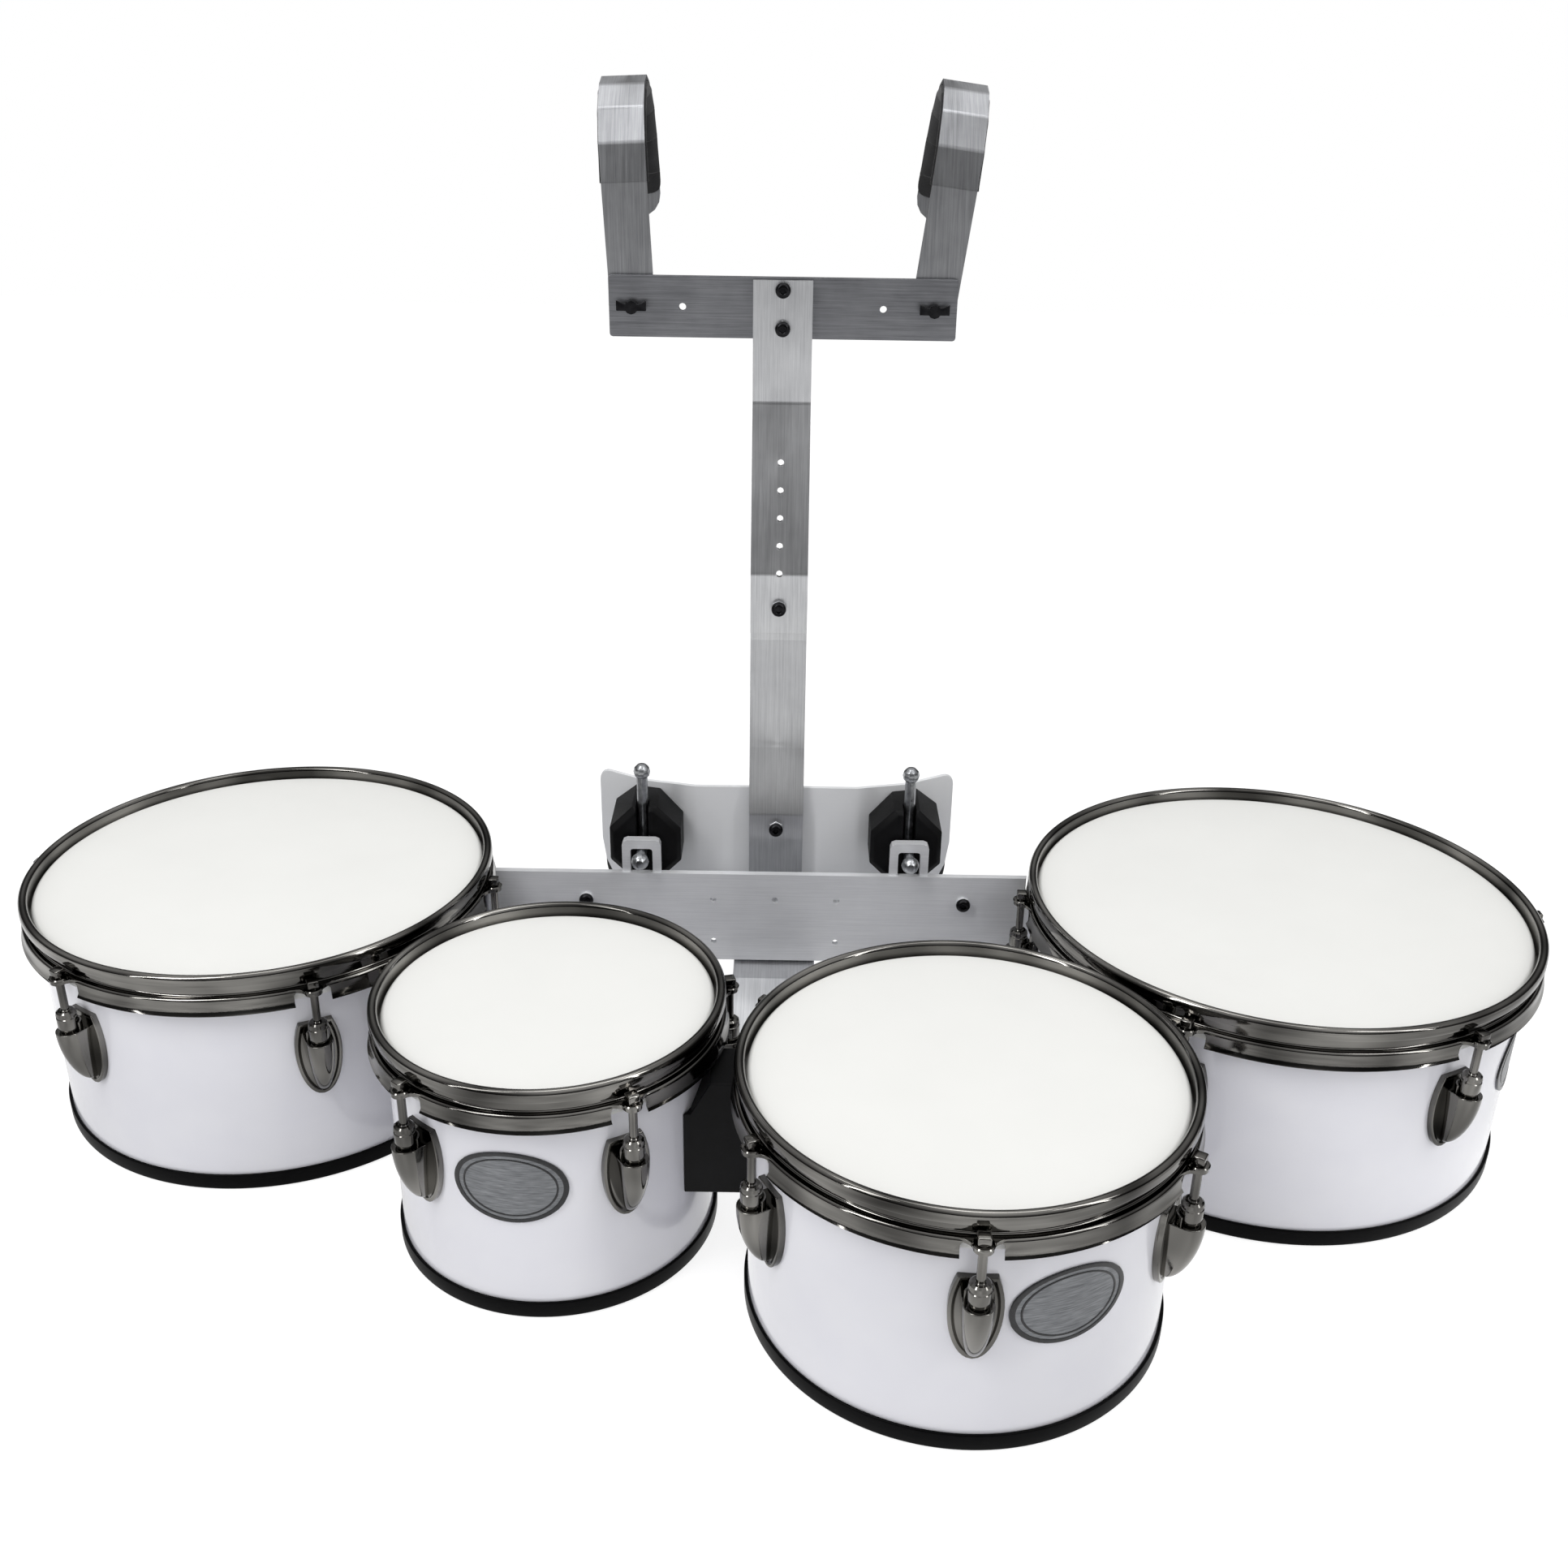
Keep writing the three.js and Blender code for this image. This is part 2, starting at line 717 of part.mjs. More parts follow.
// Middle line of the flange that lies against a shell, at an angle about that drum's axis
function flangeOn(drum, angle, turnSign) {
  const out = new THREE.Vector2(Math.cos(angle * degree), Math.sin(angle * degree));
  const along = new THREE.Vector2(-out.y, out.x).multiplyScalar(turnSign);
  const reach = drumSizes(drum).shellOuter + seatGap + barThickness / 2;
  const middle = drum.place.clone().addScaledVector(out, reach);
  const foot = middle.clone().addScaledVector(along, -middle.y / along.y);
  return { out, middle, foot, end: foot.clone().addScaledVector(along, barFlangeLength) };
}

function rearBarPiece() {
  const left = flangeOn(leftDrum, leftFlangeAngle, 1);
  const right = flangeOn(rightDrum, rightFlangeAngle, -1);
  const path = roundedPath([left.end, left.foot, right.foot, right.end], barBendRadius, 2);
  const bar = toSolid(prism(bentSheet(path, barThickness), barFoot, barTop));
  const rows = [barFoot + barLowerInset, barTop - barUpperInset];
  const holes = [[-1, 0], [1, 0], [-1, 1], [0, 1], [1, 1]].map(([column, row]) => toSolid(
    rodAlongY(barHoleRadius, -cutOverrun, cutOverrun, 8)
      .translate(column * barHolePitch, 0, rows[row]),
  ));
  const bolts = [-barBoltX, barBoltX].map((x) => toSolid(
    rodAlongY(barBoltRadius, -barThickness / 2 - barBoltHead, 0, 8).translate(x, 0, barTop - barUpperInset),
  ));
  const flangeBolts = [left, right].flatMap((flange) => rows.map((height) => flangeBolt(flange, height)));
  const receivers = [-hookX, hookX].map(receiverSolid);
  const hoops = [leftDrum, rightDrum].map((drum) => toSolid(
    rod(drumSizes(drum).lipRadius + seatGap, rimHeight - hoopHeight - seatGap, rimHeight, 60)
      .translate(drum.place.x, drum.place.y, 0),
  ));
  return join([cut(bar, [...holes, ...hoops]), ...bolts, ...flangeBolts, ...receivers]);
}

// Round bolt head on the open side of a shell flange
function flangeBolt(flange, height) {
  const turn = Math.atan2(flange.out.y, flange.out.x) - Math.PI / 2;
  return toSolid(rodAlongY(barBoltRadius, 0, barThickness / 2 + barBoltHead, 8)
    .rotateZ(turn)
    .translate(flange.middle.x, flange.middle.y, height));
}

// Upside-down U plate on the rear face of the bar, whose bridge hangs on the hook rod
function receiverSolid(x) {
  const rear = barThickness / 2;
  const underside = hookRunHeight + hookRodRadius + seatGap;
  const plate = (width, top, corner) => roundedRectangle(
    x - width / 2,
    receiverFoot,
    x + width / 2,
    top,
    corner,
    corner,
    2,
  );
  const outer = plate(receiverWidth, underside + receiverBridge, receiverCorner);
  const opening = plate(receiverOpening, underside, receiverCorner * half)
    .map((p) => (p.y < barTop ? new THREE.Vector2(p.x, receiverFoot - cutOverrun) : p));
  const solid = toSolid(prismAlongY(outer, 0, rear + receiverSheet));
  return solid.subtract(toSolid(prismAlongY(opening, -cutOverrun, rear + receiverSheet + cutOverrun)));
}

// Arm under the rear bar: rear flange, slope, low run between the shells, and front flange
function centreArmPiece() {
  const rearY = barThickness / 2 + seatGap + armSheet / 2;
  const underBar = barFoot - armBendClearance - armSheet / 2;
  const frontY = blockRear + seatGap + armSheet / 2;
  const profile = roundedPath(outlineOf([
    [rearY, barFoot + armRearLap],
    [rearY, underBar],
    [-armRearRun, underBar],
    [armDropEnd, armLowHeight],
    [frontY, armLowHeight],
    [frontY, armFlangeTop],
  ]), armBendRadius, 2);
  const strip = toSolid(prismAlongX(bentSheet(profile, armSheet), -barBoltX, barBoltX));
  const plan = toSolid(prism(outlineOf([
    [armFrontLeft, blockRear],
    [armFrontRight, blockRear],
    [armRearHalfWidth, -armSteadyRun],
    [armRearHalfWidth, rearY + armSheet],
    [-armRearHalfWidth, rearY + armSheet],
    [-armRearHalfWidth, -armSteadyRun],
  ]), 0, barTop));
  const boltX = (armFrontLeft + armFrontRight) / 2;
  const frontBolts = [armFlangeTop - armBoltRadius * 2, blockFoot + armBoltRadius * 2].map(
    (height) => toSolid(rodAlongY(armBoltRadius, frontY, frontY + armSheet / 2 + armBoltHead, 6)
      .translate(boltX, 0, height)),
  );
  const rearBolts = [-1, 1].map((side) => toSolid(
    rodAlongY(armBoltRadius, rearY, rearY + armSheet / 2 + armBoltHead, 6)
      .translate((side * barHolePitch) / 2, 0, barFoot + barLowerInset),
  ));
  return join([strip.intersect(plan), ...frontBolts, ...rearBolts]);
}

// Moulded block between the two small drums, hollowed to the curve of both shells
function smallDrumBlockPiece() {
  const left = smallDrum.place.x;
  const right = secondDrum.place.x;
  const block = toSolid(prismAlongY(outlineOf([
    [left, blockFoot],
    [right, blockFoot],
    [right, blockTop],
    [blockShoulderX, blockTop],
    [blockShoulderX - blockShoulderRun, blockShoulder],
    [left, blockShoulder],
  ]), blockFront, blockRear));
  const shells = [smallDrum, secondDrum].map((drum) => shellCutter(drumSizes(drum), 60)
    .translate([drum.place.x, drum.place.y, 0]));
  return cut(block, shells);
}

// Hook rod: ball on top, a leg down through the clamp, and a run forward that ends in a knob
function hookRodPiece(x) {
  const points = roundedPath(outlineOf([
    [hookRodY, hookBallHeight],
    [hookRodY, hookRunHeight],
    [hookKnobY, hookRunHeight],
  ]), hookBendRadius, 4);
  const sides = 8;
  const rings = points.map((p, i) => {
    const before = points[Math.max(i - 1, 0)];
    const after = points[Math.min(i + 1, points.length - 1)];
    const along = after.clone().sub(before).normalize();
    return Array.from({ length: sides }, (_, k) => {
      const angle = (2 * Math.PI * k) / sides;
      const across = hookRodRadius * Math.cos(angle);
      const outward = hookRodRadius * Math.sin(angle);
      return [x + across, p.x - along.y * outward, p.y + along.x * outward];
    });
  });
  const ball = new THREE.SphereGeometry(hookBallRadius, 10, 6).rotateX(Math.PI / 2)
    .translate(x, hookRodY, hookBallHeight);
  const knob = new THREE.SphereGeometry(hookKnobRadius, 10, 6).translate(x, hookKnobY, hookRunHeight);
  return join([loft(rings), ball, knob].map(toSolid));
}

// Closed skin through equal rings of points, capped at both ends
function loft(rings) {
  const count = rings[0].length;
  const middle = (ring) => ring.reduce((sum, p) => sum.map((v, i) => v + p[i] / count), [0, 0, 0]);
  const vertices = [...rings.flat(), middle(rings[0]), middle(rings[rings.length - 1])];
  const faces = [];
  for (let i = 0; i < rings.length - 1; i += 1) {
    for (let k = 0; k < count; k += 1) {
      const a = i * count + k;
      const b = i * count + ((k + 1) % count);
      faces.push([a, b, b + count], [a, b + count, a + count]);
    }
  }
  const last = (rings.length - 1) * count;
  for (let k = 0; k < count; k += 1) {
    const next = (k + 1) % count;
    faces.push([next, k, vertices.length - 2], [last + k, last + next, vertices.length - 1]);
  }
  const geometry = new THREE.BufferGeometry();
  geometry.setAttribute('position', new THREE.Float32BufferAttribute(vertices.flat(), 3));
  geometry.setIndex(volumeSign(vertices, faces) < 0 ? faces.flatMap(([a, b, c]) => [a, c, b]) : faces.flat());
  return geometry;
}

function volumeSign(vertices, faces) {
  const corner = (i) => new THREE.Vector3(...vertices[i]);
  return Math.sign(faces.reduce(
    (sum, [a, b, c]) => sum + corner(a).dot(corner(b).cross(corner(c))),
    0,
  ));
}

// Carrier pieces

const platePath = roundedPath(outlineOf([
  [-plateWingX, plateY + plateWingSetback],
  [-plateSlantX, plateY + plateSlantSetback],
  [-plateFacetX, plateY],
  [plateFacetX, plateY],
  [plateSlantX, plateY + plateSlantSetback],
  [plateWingX, plateY + plateWingSetback],
]), plateBendRadius, 2).map((p) => p.clone().add(new THREE.Vector2(0, plateThickness / 2)));

function bellyPlatePiece() {
  const sheet = toSolid(prism(bentSheet(platePath, plateThickness), plateFoot, plateTop));
  const front = toSolid(prismAlongY(roundedRectangle(
    -plateWingX,
    plateFoot,
    plateWingX,
    plateTop,
    plateFootCorner,
    plateTopCorner,
  ), 0, plateY + plateWingSetback * 2));
  const holes = plateBoltHeights.map((height) => toSolid(
    rodAlongY(boltRadius + runningGap, plateY - cutOverrun, plateY + plateThickness + cutOverrun, 8)
      .translate(0, 0, height),
  ));
  return cut(sheet.intersect(front), holes);
}

// Foam pad that lines the wearer's side of the plate, crowned and rolled in at its edges
function bellyPadPiece() {
  const across = offsetPath(platePath, plateThickness / 2 + seatGap);
  const deep = offsetPath(platePath, plateThickness / 2 + seatGap + padThickness);
  const rows = 8;
  const low = plateFoot + padInset;
  const high = plateTop - padInset;
  const roll = (t) => (1 - Math.abs(2 * t - 1) ** padRollPower) ** half;
  const rings = across.map((near, i) => {
    const endRoll = Math.max(roll(i / (across.length - 1)), padEndShare);
    const middle = (low + high) / 2;
    const rise = ((high - low) / 2) * (1 - padCornerShare * (1 - endRoll));
    const place = (share, depthShare) => {
      const point = near.clone().lerp(deep[i], depthShare);
      return [point.x, point.y, middle + rise * (2 * share - 1)];
    };
    const back = Array.from({ length: rows + 1 }, (_, k) => {
      const share = k / rows;
      return place(share, Math.max(roll(share), padRimShare) * endRoll);
    });
    return [...back, place(1, 0), place(0, 0)];
  });
  return loft(rings);
}

// Clamp for a hook rod: an eight-sided moulded body with an upright groove, open in front
function hookClampPiece(side) {
  const middleHeight = (clampFoot + clampTop) / 2;
  const ring = (y, inset) => {
    const wide = clampWidth / 2 - inset;
    const tall = (clampTop - clampFoot) / 2 - inset;
    const corner = [[wide, tall - clampCorner], [wide - clampCorner, tall]];
    const top = [...corner, ...corner.slice().reverse().map(([u, v]) => [-u, v])];
    return [...top, ...top.slice().reverse().map(([u, v]) => [u, -v])]
      .map(([u, v]) => [side * clampX + u, y, middleHeight + v]);
  };
  const body = toSolid(loft([
    ring(clampFrontY, clampRimChamfer),
    ring(clampFrontY + clampRimChamfer, 0),
    ring(plateY + plateWingSetback, 0),
  ]));
  const grooveHalf = hookRodRadius + runningGap;
  const groove = toSolid(prism(
    rectangle(
      side * hookX - grooveHalf,
      clampFrontY - cutOverrun,
      side * hookX + grooveHalf,
      hookRodY + grooveHalf,
    ),
    clampFoot - cutOverrun,
    clampTop + cutOverrun,
  ));
  const clear = offsetPath(platePath, -plateThickness / 2 - seatGap);
  const farY = plateY + plateWingSetback * 2;
  const behind = toSolid(prism(
    [...clear, new THREE.Vector2(plateWingX, farY), new THREE.Vector2(-plateWingX, farY)],
    plateFoot,
    plateTop,
  ));
  return body.subtract(groove).subtract(behind);
}

// Hex-headed bolt along Y, with its head in front, an optional nut behind and a plain shank
function boltSolid(x, height, headFace, rearEnd, nutFace = null) {
  const parts = [
    rodAlongY(boltHeadRadius, headFace - boltHeadHeight, headFace, 6),
    rodAlongY(boltRadius, headFace - boltHeadHeight, rearEnd, 8),
  ];
  if (nutFace !== null) parts.push(rodAlongY(boltHeadRadius, nutFace, nutFace + boltHeadHeight, 6));
  return join(parts.map((part) => toSolid(part.translate(x, 0, height))));
}

const lowerUprightY = upperFrontY + uprightSheet + seatGap;
const upperRearY = upperFrontY + upperSetback + uprightSheet;

// Lower flat bar with its plate bolts, their spacers, and the bolt that the upper bar turns on
function lowerUprightPiece() {
  const middle = uprightSheet / 2;
  const profile = roundedPath(outlineOf([
    [uprightFrontY + middle, uprightFoot],
    [uprightFrontY + middle, lowerBendFoot],
    [uprightFrontY + middle + (lowerUprightY - uprightFrontY) * lowerLeanShare, lowerBendMiddle],
    [lowerUprightY + middle, lowerBendTop],
    [lowerUprightY + middle, lowerTop],
  ]), uprightBendRadius, 3);
  const bar = toSolid(prismAlongX(bentSheet(profile, uprightSheet), -uprightWidth / 2, uprightWidth / 2));
  const rear = plateY + plateThickness;
  const bolts = plateBoltHeights.map((height) => boltSolid(0, height, uprightFrontY, rear));
  const spacers = plateBoltHeights.map((height) => toSolid(
    rodAlongY(spacerRadius, uprightFrontY + middle, plateY - seatGap, 12).translate(0, 0, height),
  ));
  const lapBolt = boltSolid(0, lapBoltHeight, upperFrontY - seatGap, lowerUprightY + middle);
  return join([bar, ...bolts, ...spacers, lapBolt]);
}

// Upper flat bar with its row of height holes and the two bolts that hold the crossbar
function upperUprightPiece() {
  const middle = uprightSheet / 2;
  const leanTop = upperFrontY + upperSetback;
  const profile = roundedPath(outlineOf([
    [upperFrontY + middle, upperFoot],
    [upperFrontY + middle, upperBendFoot],
    [leanTop + middle, upperBendTop],
    [leanTop + middle, upperTop],
  ]), uprightBendRadius, 3);
  const bar = toSolid(prismAlongX(bentSheet(profile, uprightSheet), -uprightWidth / 2, uprightWidth / 2));
  const slope = upperSetback / (upperBendTop - upperBendFoot);
  const climb = 1 / Math.hypot(1, slope);
  const holes = Array.from({ length: heightHoleCount }, (_, i) => toSolid(
    rodAlongY(heightHoleRadius, 0, upperRearY, 8)
      .translate(0, 0, heightHoleFoot + i * heightHolePitch * climb),
  ));
  const lapHole = toSolid(rodAlongY(boltRadius + runningGap, 0, upperRearY, 10)
    .translate(0, 0, lapBoltHeight));
  const crossbarRear = upperRearY + seatGap + crossbarSheet;
  const bolts = [-1, 1].map((side) => boltSolid(
    0,
    crossbarCentre + (side * crossbarBoltSpacing) / 2,
    leanTop,
    crossbarRear + seatGap,
    crossbarRear + seatGap,
  ));
  return join([cut(bar, [...holes, lapHole]), ...bolts]);
}


const shoulderFrontY = upperRearY + crossbarSheet + seatGap * 2;

function crossbarPiece() {
  const front = upperRearY + seatGap;
  const rear = front + crossbarSheet;
  const plate = toSolid(prismAlongY(roundedRectangle(
    -crossbarLength / 2,
    crossbarCentre - crossbarHeight / 2,
    crossbarLength / 2,
    crossbarCentre + crossbarHeight / 2,
    crossbarCorner,
    crossbarCorner,
    2,
  ), front, rear));
  const through = (radius, x, height) => toSolid(
    rodAlongY(radius, front - cutOverrun, rear + cutOverrun, 10).translate(x, 0, height),
  );
  const holes = [-1, 1].flatMap((side) => [
    through(crossbarHoleRadius, side * crossbarHoleX, crossbarCentre),
    through(wingScrewRadius + runningGap, side * shoulderPivotX, crossbarCentre),
    through(boltRadius + runningGap, 0, crossbarCentre + (side * crossbarBoltSpacing) / 2),
  ]);
  return cut(plate, holes);
}

// Side view of a shoulder hook on its middle line, from the pivot: leg, over the top, rear drop
function shoulderPath() {
  const arc = Array.from({ length: shoulderFacets + 1 }, (_, i) => {
    const angle = Math.PI * (1 - i / shoulderFacets);
    return [
      shoulderHalfDepth + shoulderHalfDepth * Math.cos(angle),
      shoulderRise + shoulderHalfHeight * Math.sin(angle),
    ];
  });
  const points = outlineOf([[0, 0], ...arc, [shoulderHalfDepth * 2, shoulderRise - shoulderRearDrop]]);
  return roundedPath(points, shoulderBendRadius, 2);
}

// Flat bar hook with round ends, drawn from its pivot on the hook's middle line
function shoulderHookPiece() {
  const width = shoulderWidth / 2;
  const middle = shoulderSheet / 2;
  const bar = toSolid(prismAlongX(bentSheet(shoulderPath(), shoulderSheet), -width, width));
  const rearY = shoulderHalfDepth * 2;
  const base = toSolid(rodAlongY(width, -middle, middle, 16));
  const end = toSolid(rodAlongY(width, rearY - middle, rearY + middle, 16)
    .translate(0, 0, shoulderRise - shoulderRearDrop));
  const nut = toSolid(rodAlongY(weldNutRadius, 0, middle + weldNutHeight, 6));
  const bore = toSolid(rodAlongY(
    wingScrewRadius + runningGap,
    -cutOverrun,
    middle + weldNutHeight + cutOverrun,
    10,
  ));
  return join([bar, base, end, nut]).subtract(bore);
}

// Foam lining of a shoulder hook: flat on the bar, crowned inside, thinned at both ends
function shoulderPadPiece() {
  const path = shoulderPath().slice(1);
  const near = offsetPath(path, -(shoulderSheet / 2 + seatGap));
  const deep = offsetPath(path, -(shoulderSheet / 2 + seatGap + shoulderPadThickness));
  const steps = 6;
  const width = shoulderPadWidth / 2;
  const roll = (t) => (1 - Math.abs(2 * t - 1) ** shoulderPadRollPower) ** half;
  const rings = near.map((outer, i) => {
    const taper = Math.max(roll(i / (near.length - 1)), shoulderPadEndShare);
    const crown = Array.from({ length: steps + 1 }, (_, k) => {
      const share = k / steps;
      const point = outer.clone().lerp(deep[i], Math.max(roll(share), shoulderPadRimShare) * taper);
      return [width * (2 * share - 1), point.x, point.y];
    });
    return [...crown, [width, outer.x, outer.y], [-width, outer.x, outer.y]];
  });
  return loft(rings);
}

// Wing screw, drawn with its axis on Y from the front face of the crossbar
function wingScrewPiece() {
  const reach = crossbarSheet + shoulderSheet + seatGap + weldNutHeight;
  const hub = rodAlongY(wingHubRadius, -seatGap - wingHubLength, -seatGap, 10);
  const shank = rodAlongY(wingScrewRadius, -seatGap - wingHubLength, reach, 8);
  const tall = wingHeight / 2;
  const waist = tall * wingWaistShare;
  const outline = outlineOf([
    [-wingSpan / 2, -waist],
    [0, -waist],
    [wingSpan / 2, -waist],
    [wingSpan / 2, tall],
    [wingSpan / 4, waist],
    [-wingSpan / 4, waist],
    [-wingSpan / 2, tall],
  ]);
  const wings = prismAlongY(outline, -seatGap - wingHubLength, -seatGap - wingHubLength + wingSheet);
  return join([hub, shank, wings].map(toSolid));
}

// Shoulder hook, pad and wing screw, leaned outwards about the pivot
function shoulderGroup(side, label, lean) {
  const group = new THREE.Group();
  group.position.set(side * shoulderPivotX, shoulderFrontY + shoulderSheet / 2, crossbarCentre);
  const leaning = new THREE.Group();
  leaning.rotation.y = side * lean * degree;
  leaning.add(
    mesh(`shoulder_hook_${label}`, shoulderHookPiece(), 'aluminium'),
    mesh(`shoulder_pad_${label}`, shoulderPadPiece(), 'foam'),
  );
  const screw = mesh(`wing_screw_${label}`, wingScrewPiece(), 'steel');
  screw.position.y = upperRearY + seatGap - group.position.y;
  group.add(leaning, screw);
  return group;
}

const layout = new THREE.Group();
layout.add(
  ...drums.map(drumGroup),
  mesh('rear_bar', rearBarPiece(), 'aluminium'),
  mesh('centre_arm', centreArmPiece(), 'aluminium'),
  mesh('small_drum_block', smallDrumBlockPiece(), 'moulded'),
  mesh('hook_rod_left', hookRodPiece(-hookX), 'steel'),
  mesh('hook_rod_right', hookRodPiece(hookX), 'steel'),
  mesh('belly_plate', bellyPlatePiece(), 'aluminium'),
  mesh('belly_pad', bellyPadPiece(), 'foam'),
  mesh('hook_clamp_left', hookClampPiece(-1), 'moulded'),
  mesh('hook_clamp_right', hookClampPiece(1), 'moulded'),
  mesh('lower_upright', lowerUprightPiece(), 'aluminium'),
  mesh('upper_upright', upperUprightPiece(), 'aluminium'),
  mesh('crossbar', crossbarPiece(), 'aluminium'),
  shoulderGroup(-1, 'left', leftLeanAngle),
  shoulderGroup(1, 'right', rightLeanAngle),
);

// The part's origin is the middle of its footprint on the floor
const extent = new THREE.Box3().setFromObject(layout, true);
const middle = extent.getCenter(new THREE.Vector3());
layout.position.set(-middle.x, -middle.y, -extent.min.z);

const part = new THREE.Group();
part.add(layout);

export default part;
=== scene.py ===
"""Marching tenor drums: the looks of four drums, their hardware and the shoulder carrier.

Everything is in metres in the frame of the packed model. Sizes that a user would change are
properties of the scene, and the places of all pieces are read from the frame.
"""

import json
import math

import bmesh
import bpy
from bpy.props import FloatProperty, FloatVectorProperty, IntProperty, PointerProperty
from mathutils import Matrix, Vector


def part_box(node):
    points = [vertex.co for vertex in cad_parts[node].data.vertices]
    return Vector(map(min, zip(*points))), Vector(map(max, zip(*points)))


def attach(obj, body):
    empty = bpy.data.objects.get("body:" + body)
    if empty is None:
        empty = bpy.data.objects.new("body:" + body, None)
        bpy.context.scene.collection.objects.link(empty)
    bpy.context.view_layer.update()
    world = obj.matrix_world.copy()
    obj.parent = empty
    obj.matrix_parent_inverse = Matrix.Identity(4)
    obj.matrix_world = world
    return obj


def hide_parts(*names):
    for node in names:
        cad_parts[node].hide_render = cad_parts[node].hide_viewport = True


bl_info = {
    "name": "Marching Tenor Drums",
    "version": (1, 0, 0),
    "blender": (4, 5, 0),
    "location": "View3D > Sidebar > Tenor Drums",
    "description": "Builds the drums, hoops, lugs, carrier finishes and studio of a tenor drum set",
    "category": "Object",
}

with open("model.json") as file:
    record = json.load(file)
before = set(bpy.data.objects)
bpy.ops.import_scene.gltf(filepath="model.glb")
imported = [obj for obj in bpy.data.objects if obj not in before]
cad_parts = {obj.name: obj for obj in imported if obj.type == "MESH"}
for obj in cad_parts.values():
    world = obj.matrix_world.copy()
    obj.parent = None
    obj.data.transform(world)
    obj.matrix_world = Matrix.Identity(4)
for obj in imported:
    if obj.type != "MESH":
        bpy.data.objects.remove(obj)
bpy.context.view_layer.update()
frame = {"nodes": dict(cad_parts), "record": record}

MM = 0.001
TURN = 2 * math.pi

# Room between two pieces that touch, and how far a cutter reaches past what it cuts
SEAT_GAP = 0.3 * MM
CUT_OVERRUN = 4 * MM

# Distances under which two points are one: in a traced piece, in a node, and after its bends
SAME_POINT = 0.01 * MM
SAME_CORNER = 0.02 * MM
SAME_BEND = 0.03 * MM

DRUMS = ("drum_8", "drum_10", "drum_12", "drum_13")

# Focal length of the fitted camera against the picture's width, both in pixels
FOCAL_SHARE = 1925 / 1932


# Places read from the frame


def box(node):
    """Lowest and highest corner of a node."""
    low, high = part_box(node)
    return Vector(low), Vector(high)


def middle(node):
    low, high = box(node)
    return (low + high) / 2


def axis_of(drum):
    """The drum's axis on the floor."""
    place = middle(f"{drum}_shell")
    return Vector((place.x, place.y, 0))


def shell_radius(drum):
    low, high = box(f"{drum}_shell")
    return max(high.x - low.x, high.y - low.y) / 2


def lug_nodes(drum):
    return sorted(name for name in frame["nodes"] if name.startswith(f"{drum}_lug_"))


def rod_place(lug):
    """Where a tension rod stands: the middle of the highest points of its lug's node."""
    points = [v.co for v in frame["nodes"][lug].data.vertices]
    top = max(p.z for p in points)
    head = [p for p in points if p.z > top - MM]
    return Vector((
        (min(p.x for p in head) + max(p.x for p in head)) / 2,
        (min(p.y for p in head) + max(p.y for p in head)) / 2,
        0,
    ))


def facing(drum, place):
    """Turn about Z that takes +Y at the drum's axis towards a place."""
    out = place - axis_of(drum)
    return math.atan2(out.y, out.x) - math.pi / 2


# Modelling in edit mode, in the manner of work by hand


def look_at_none():
    """Leaves edit mode and deselects everything."""
    if bpy.context.object and bpy.context.object.mode != "OBJECT":
        bpy.ops.object.mode_set(mode="OBJECT")
    bpy.ops.object.select_all(action="DESELECT")


def take_up(piece):
    """Makes a piece the active one, and the only one selected."""
    look_at_none()
    bpy.context.view_layer.objects.active = piece
    piece.select_set(True)


def trace(name, points):
    """A new piece in edit mode: one vertex, extruded along a line of points."""
    look_at_none()
    bpy.ops.mesh.primitive_plane_add(size=MM, location=(0, 0, 0))
    piece = bpy.context.object
    piece.name = name
    bpy.ops.object.mode_set(mode="EDIT")
    bpy.ops.mesh.select_mode(type="VERT")
    bpy.ops.mesh.select_all(action="SELECT")
    bpy.ops.mesh.merge(type="CENTER")
    bpy.ops.transform.translate(value=points[0])
    for before, after in zip(points, points[1:]):
        step = Vector(after) - Vector(before)
        bpy.ops.mesh.extrude_region_move(TRANSFORM_OT_translate={"value": step})
    return piece


def select_ends(piece):
    """Selects the two loose ends of a traced line."""
    mesh = bmesh.from_edit_mesh(piece.data)
    bpy.ops.mesh.select_all(action="DESELECT")
    for vertex in mesh.verts:
        vertex.select_set(len(vertex.link_edges) < 2)
    mesh.select_flush_mode()
    bmesh.update_edit_mesh(piece.data)


def close_line(piece):
    """Joins the two ends of a traced line by an edge."""
    bpy.ops.mesh.select_mode(type="VERT")
    select_ends(piece)
    bpy.ops.mesh.edge_face_add()


def tidy_skin():
    """Merges doubled points and turns all faces outwards."""
    bpy.ops.mesh.select_all(action="SELECT")
    bpy.ops.mesh.remove_doubles(threshold=SAME_POINT)
    bpy.ops.mesh.normals_make_consistent(inside=False)
    bpy.ops.object.mode_set(mode="OBJECT")


def turned(name, outline, steps, closed=True):
    """Spins an (r, z) outline about the Z axis; an open one starts and ends on the axis."""
    piece = trace(name, [(r, 0, z) for r, z in outline])
    if closed:
        close_line(piece)
    bpy.ops.mesh.select_all(action="SELECT")
    bpy.ops.mesh.spin(steps=steps, angle=TURN, center=(0, 0, 0), axis=(0, 0, 1))
    tidy_skin()
    return piece


def plate(name, outline, depth):
    """Fills a closed outline and extrudes it by a depth vector."""
    piece = trace(name, outline)
    close_line(piece)
    bpy.ops.mesh.select_all(action="SELECT")
    bpy.ops.mesh.edge_face_add()
    bpy.ops.mesh.select_all(action="SELECT")
    bpy.ops.mesh.extrude_region_move(TRANSFORM_OT_translate={"value": depth})
    tidy_skin()
    return piece


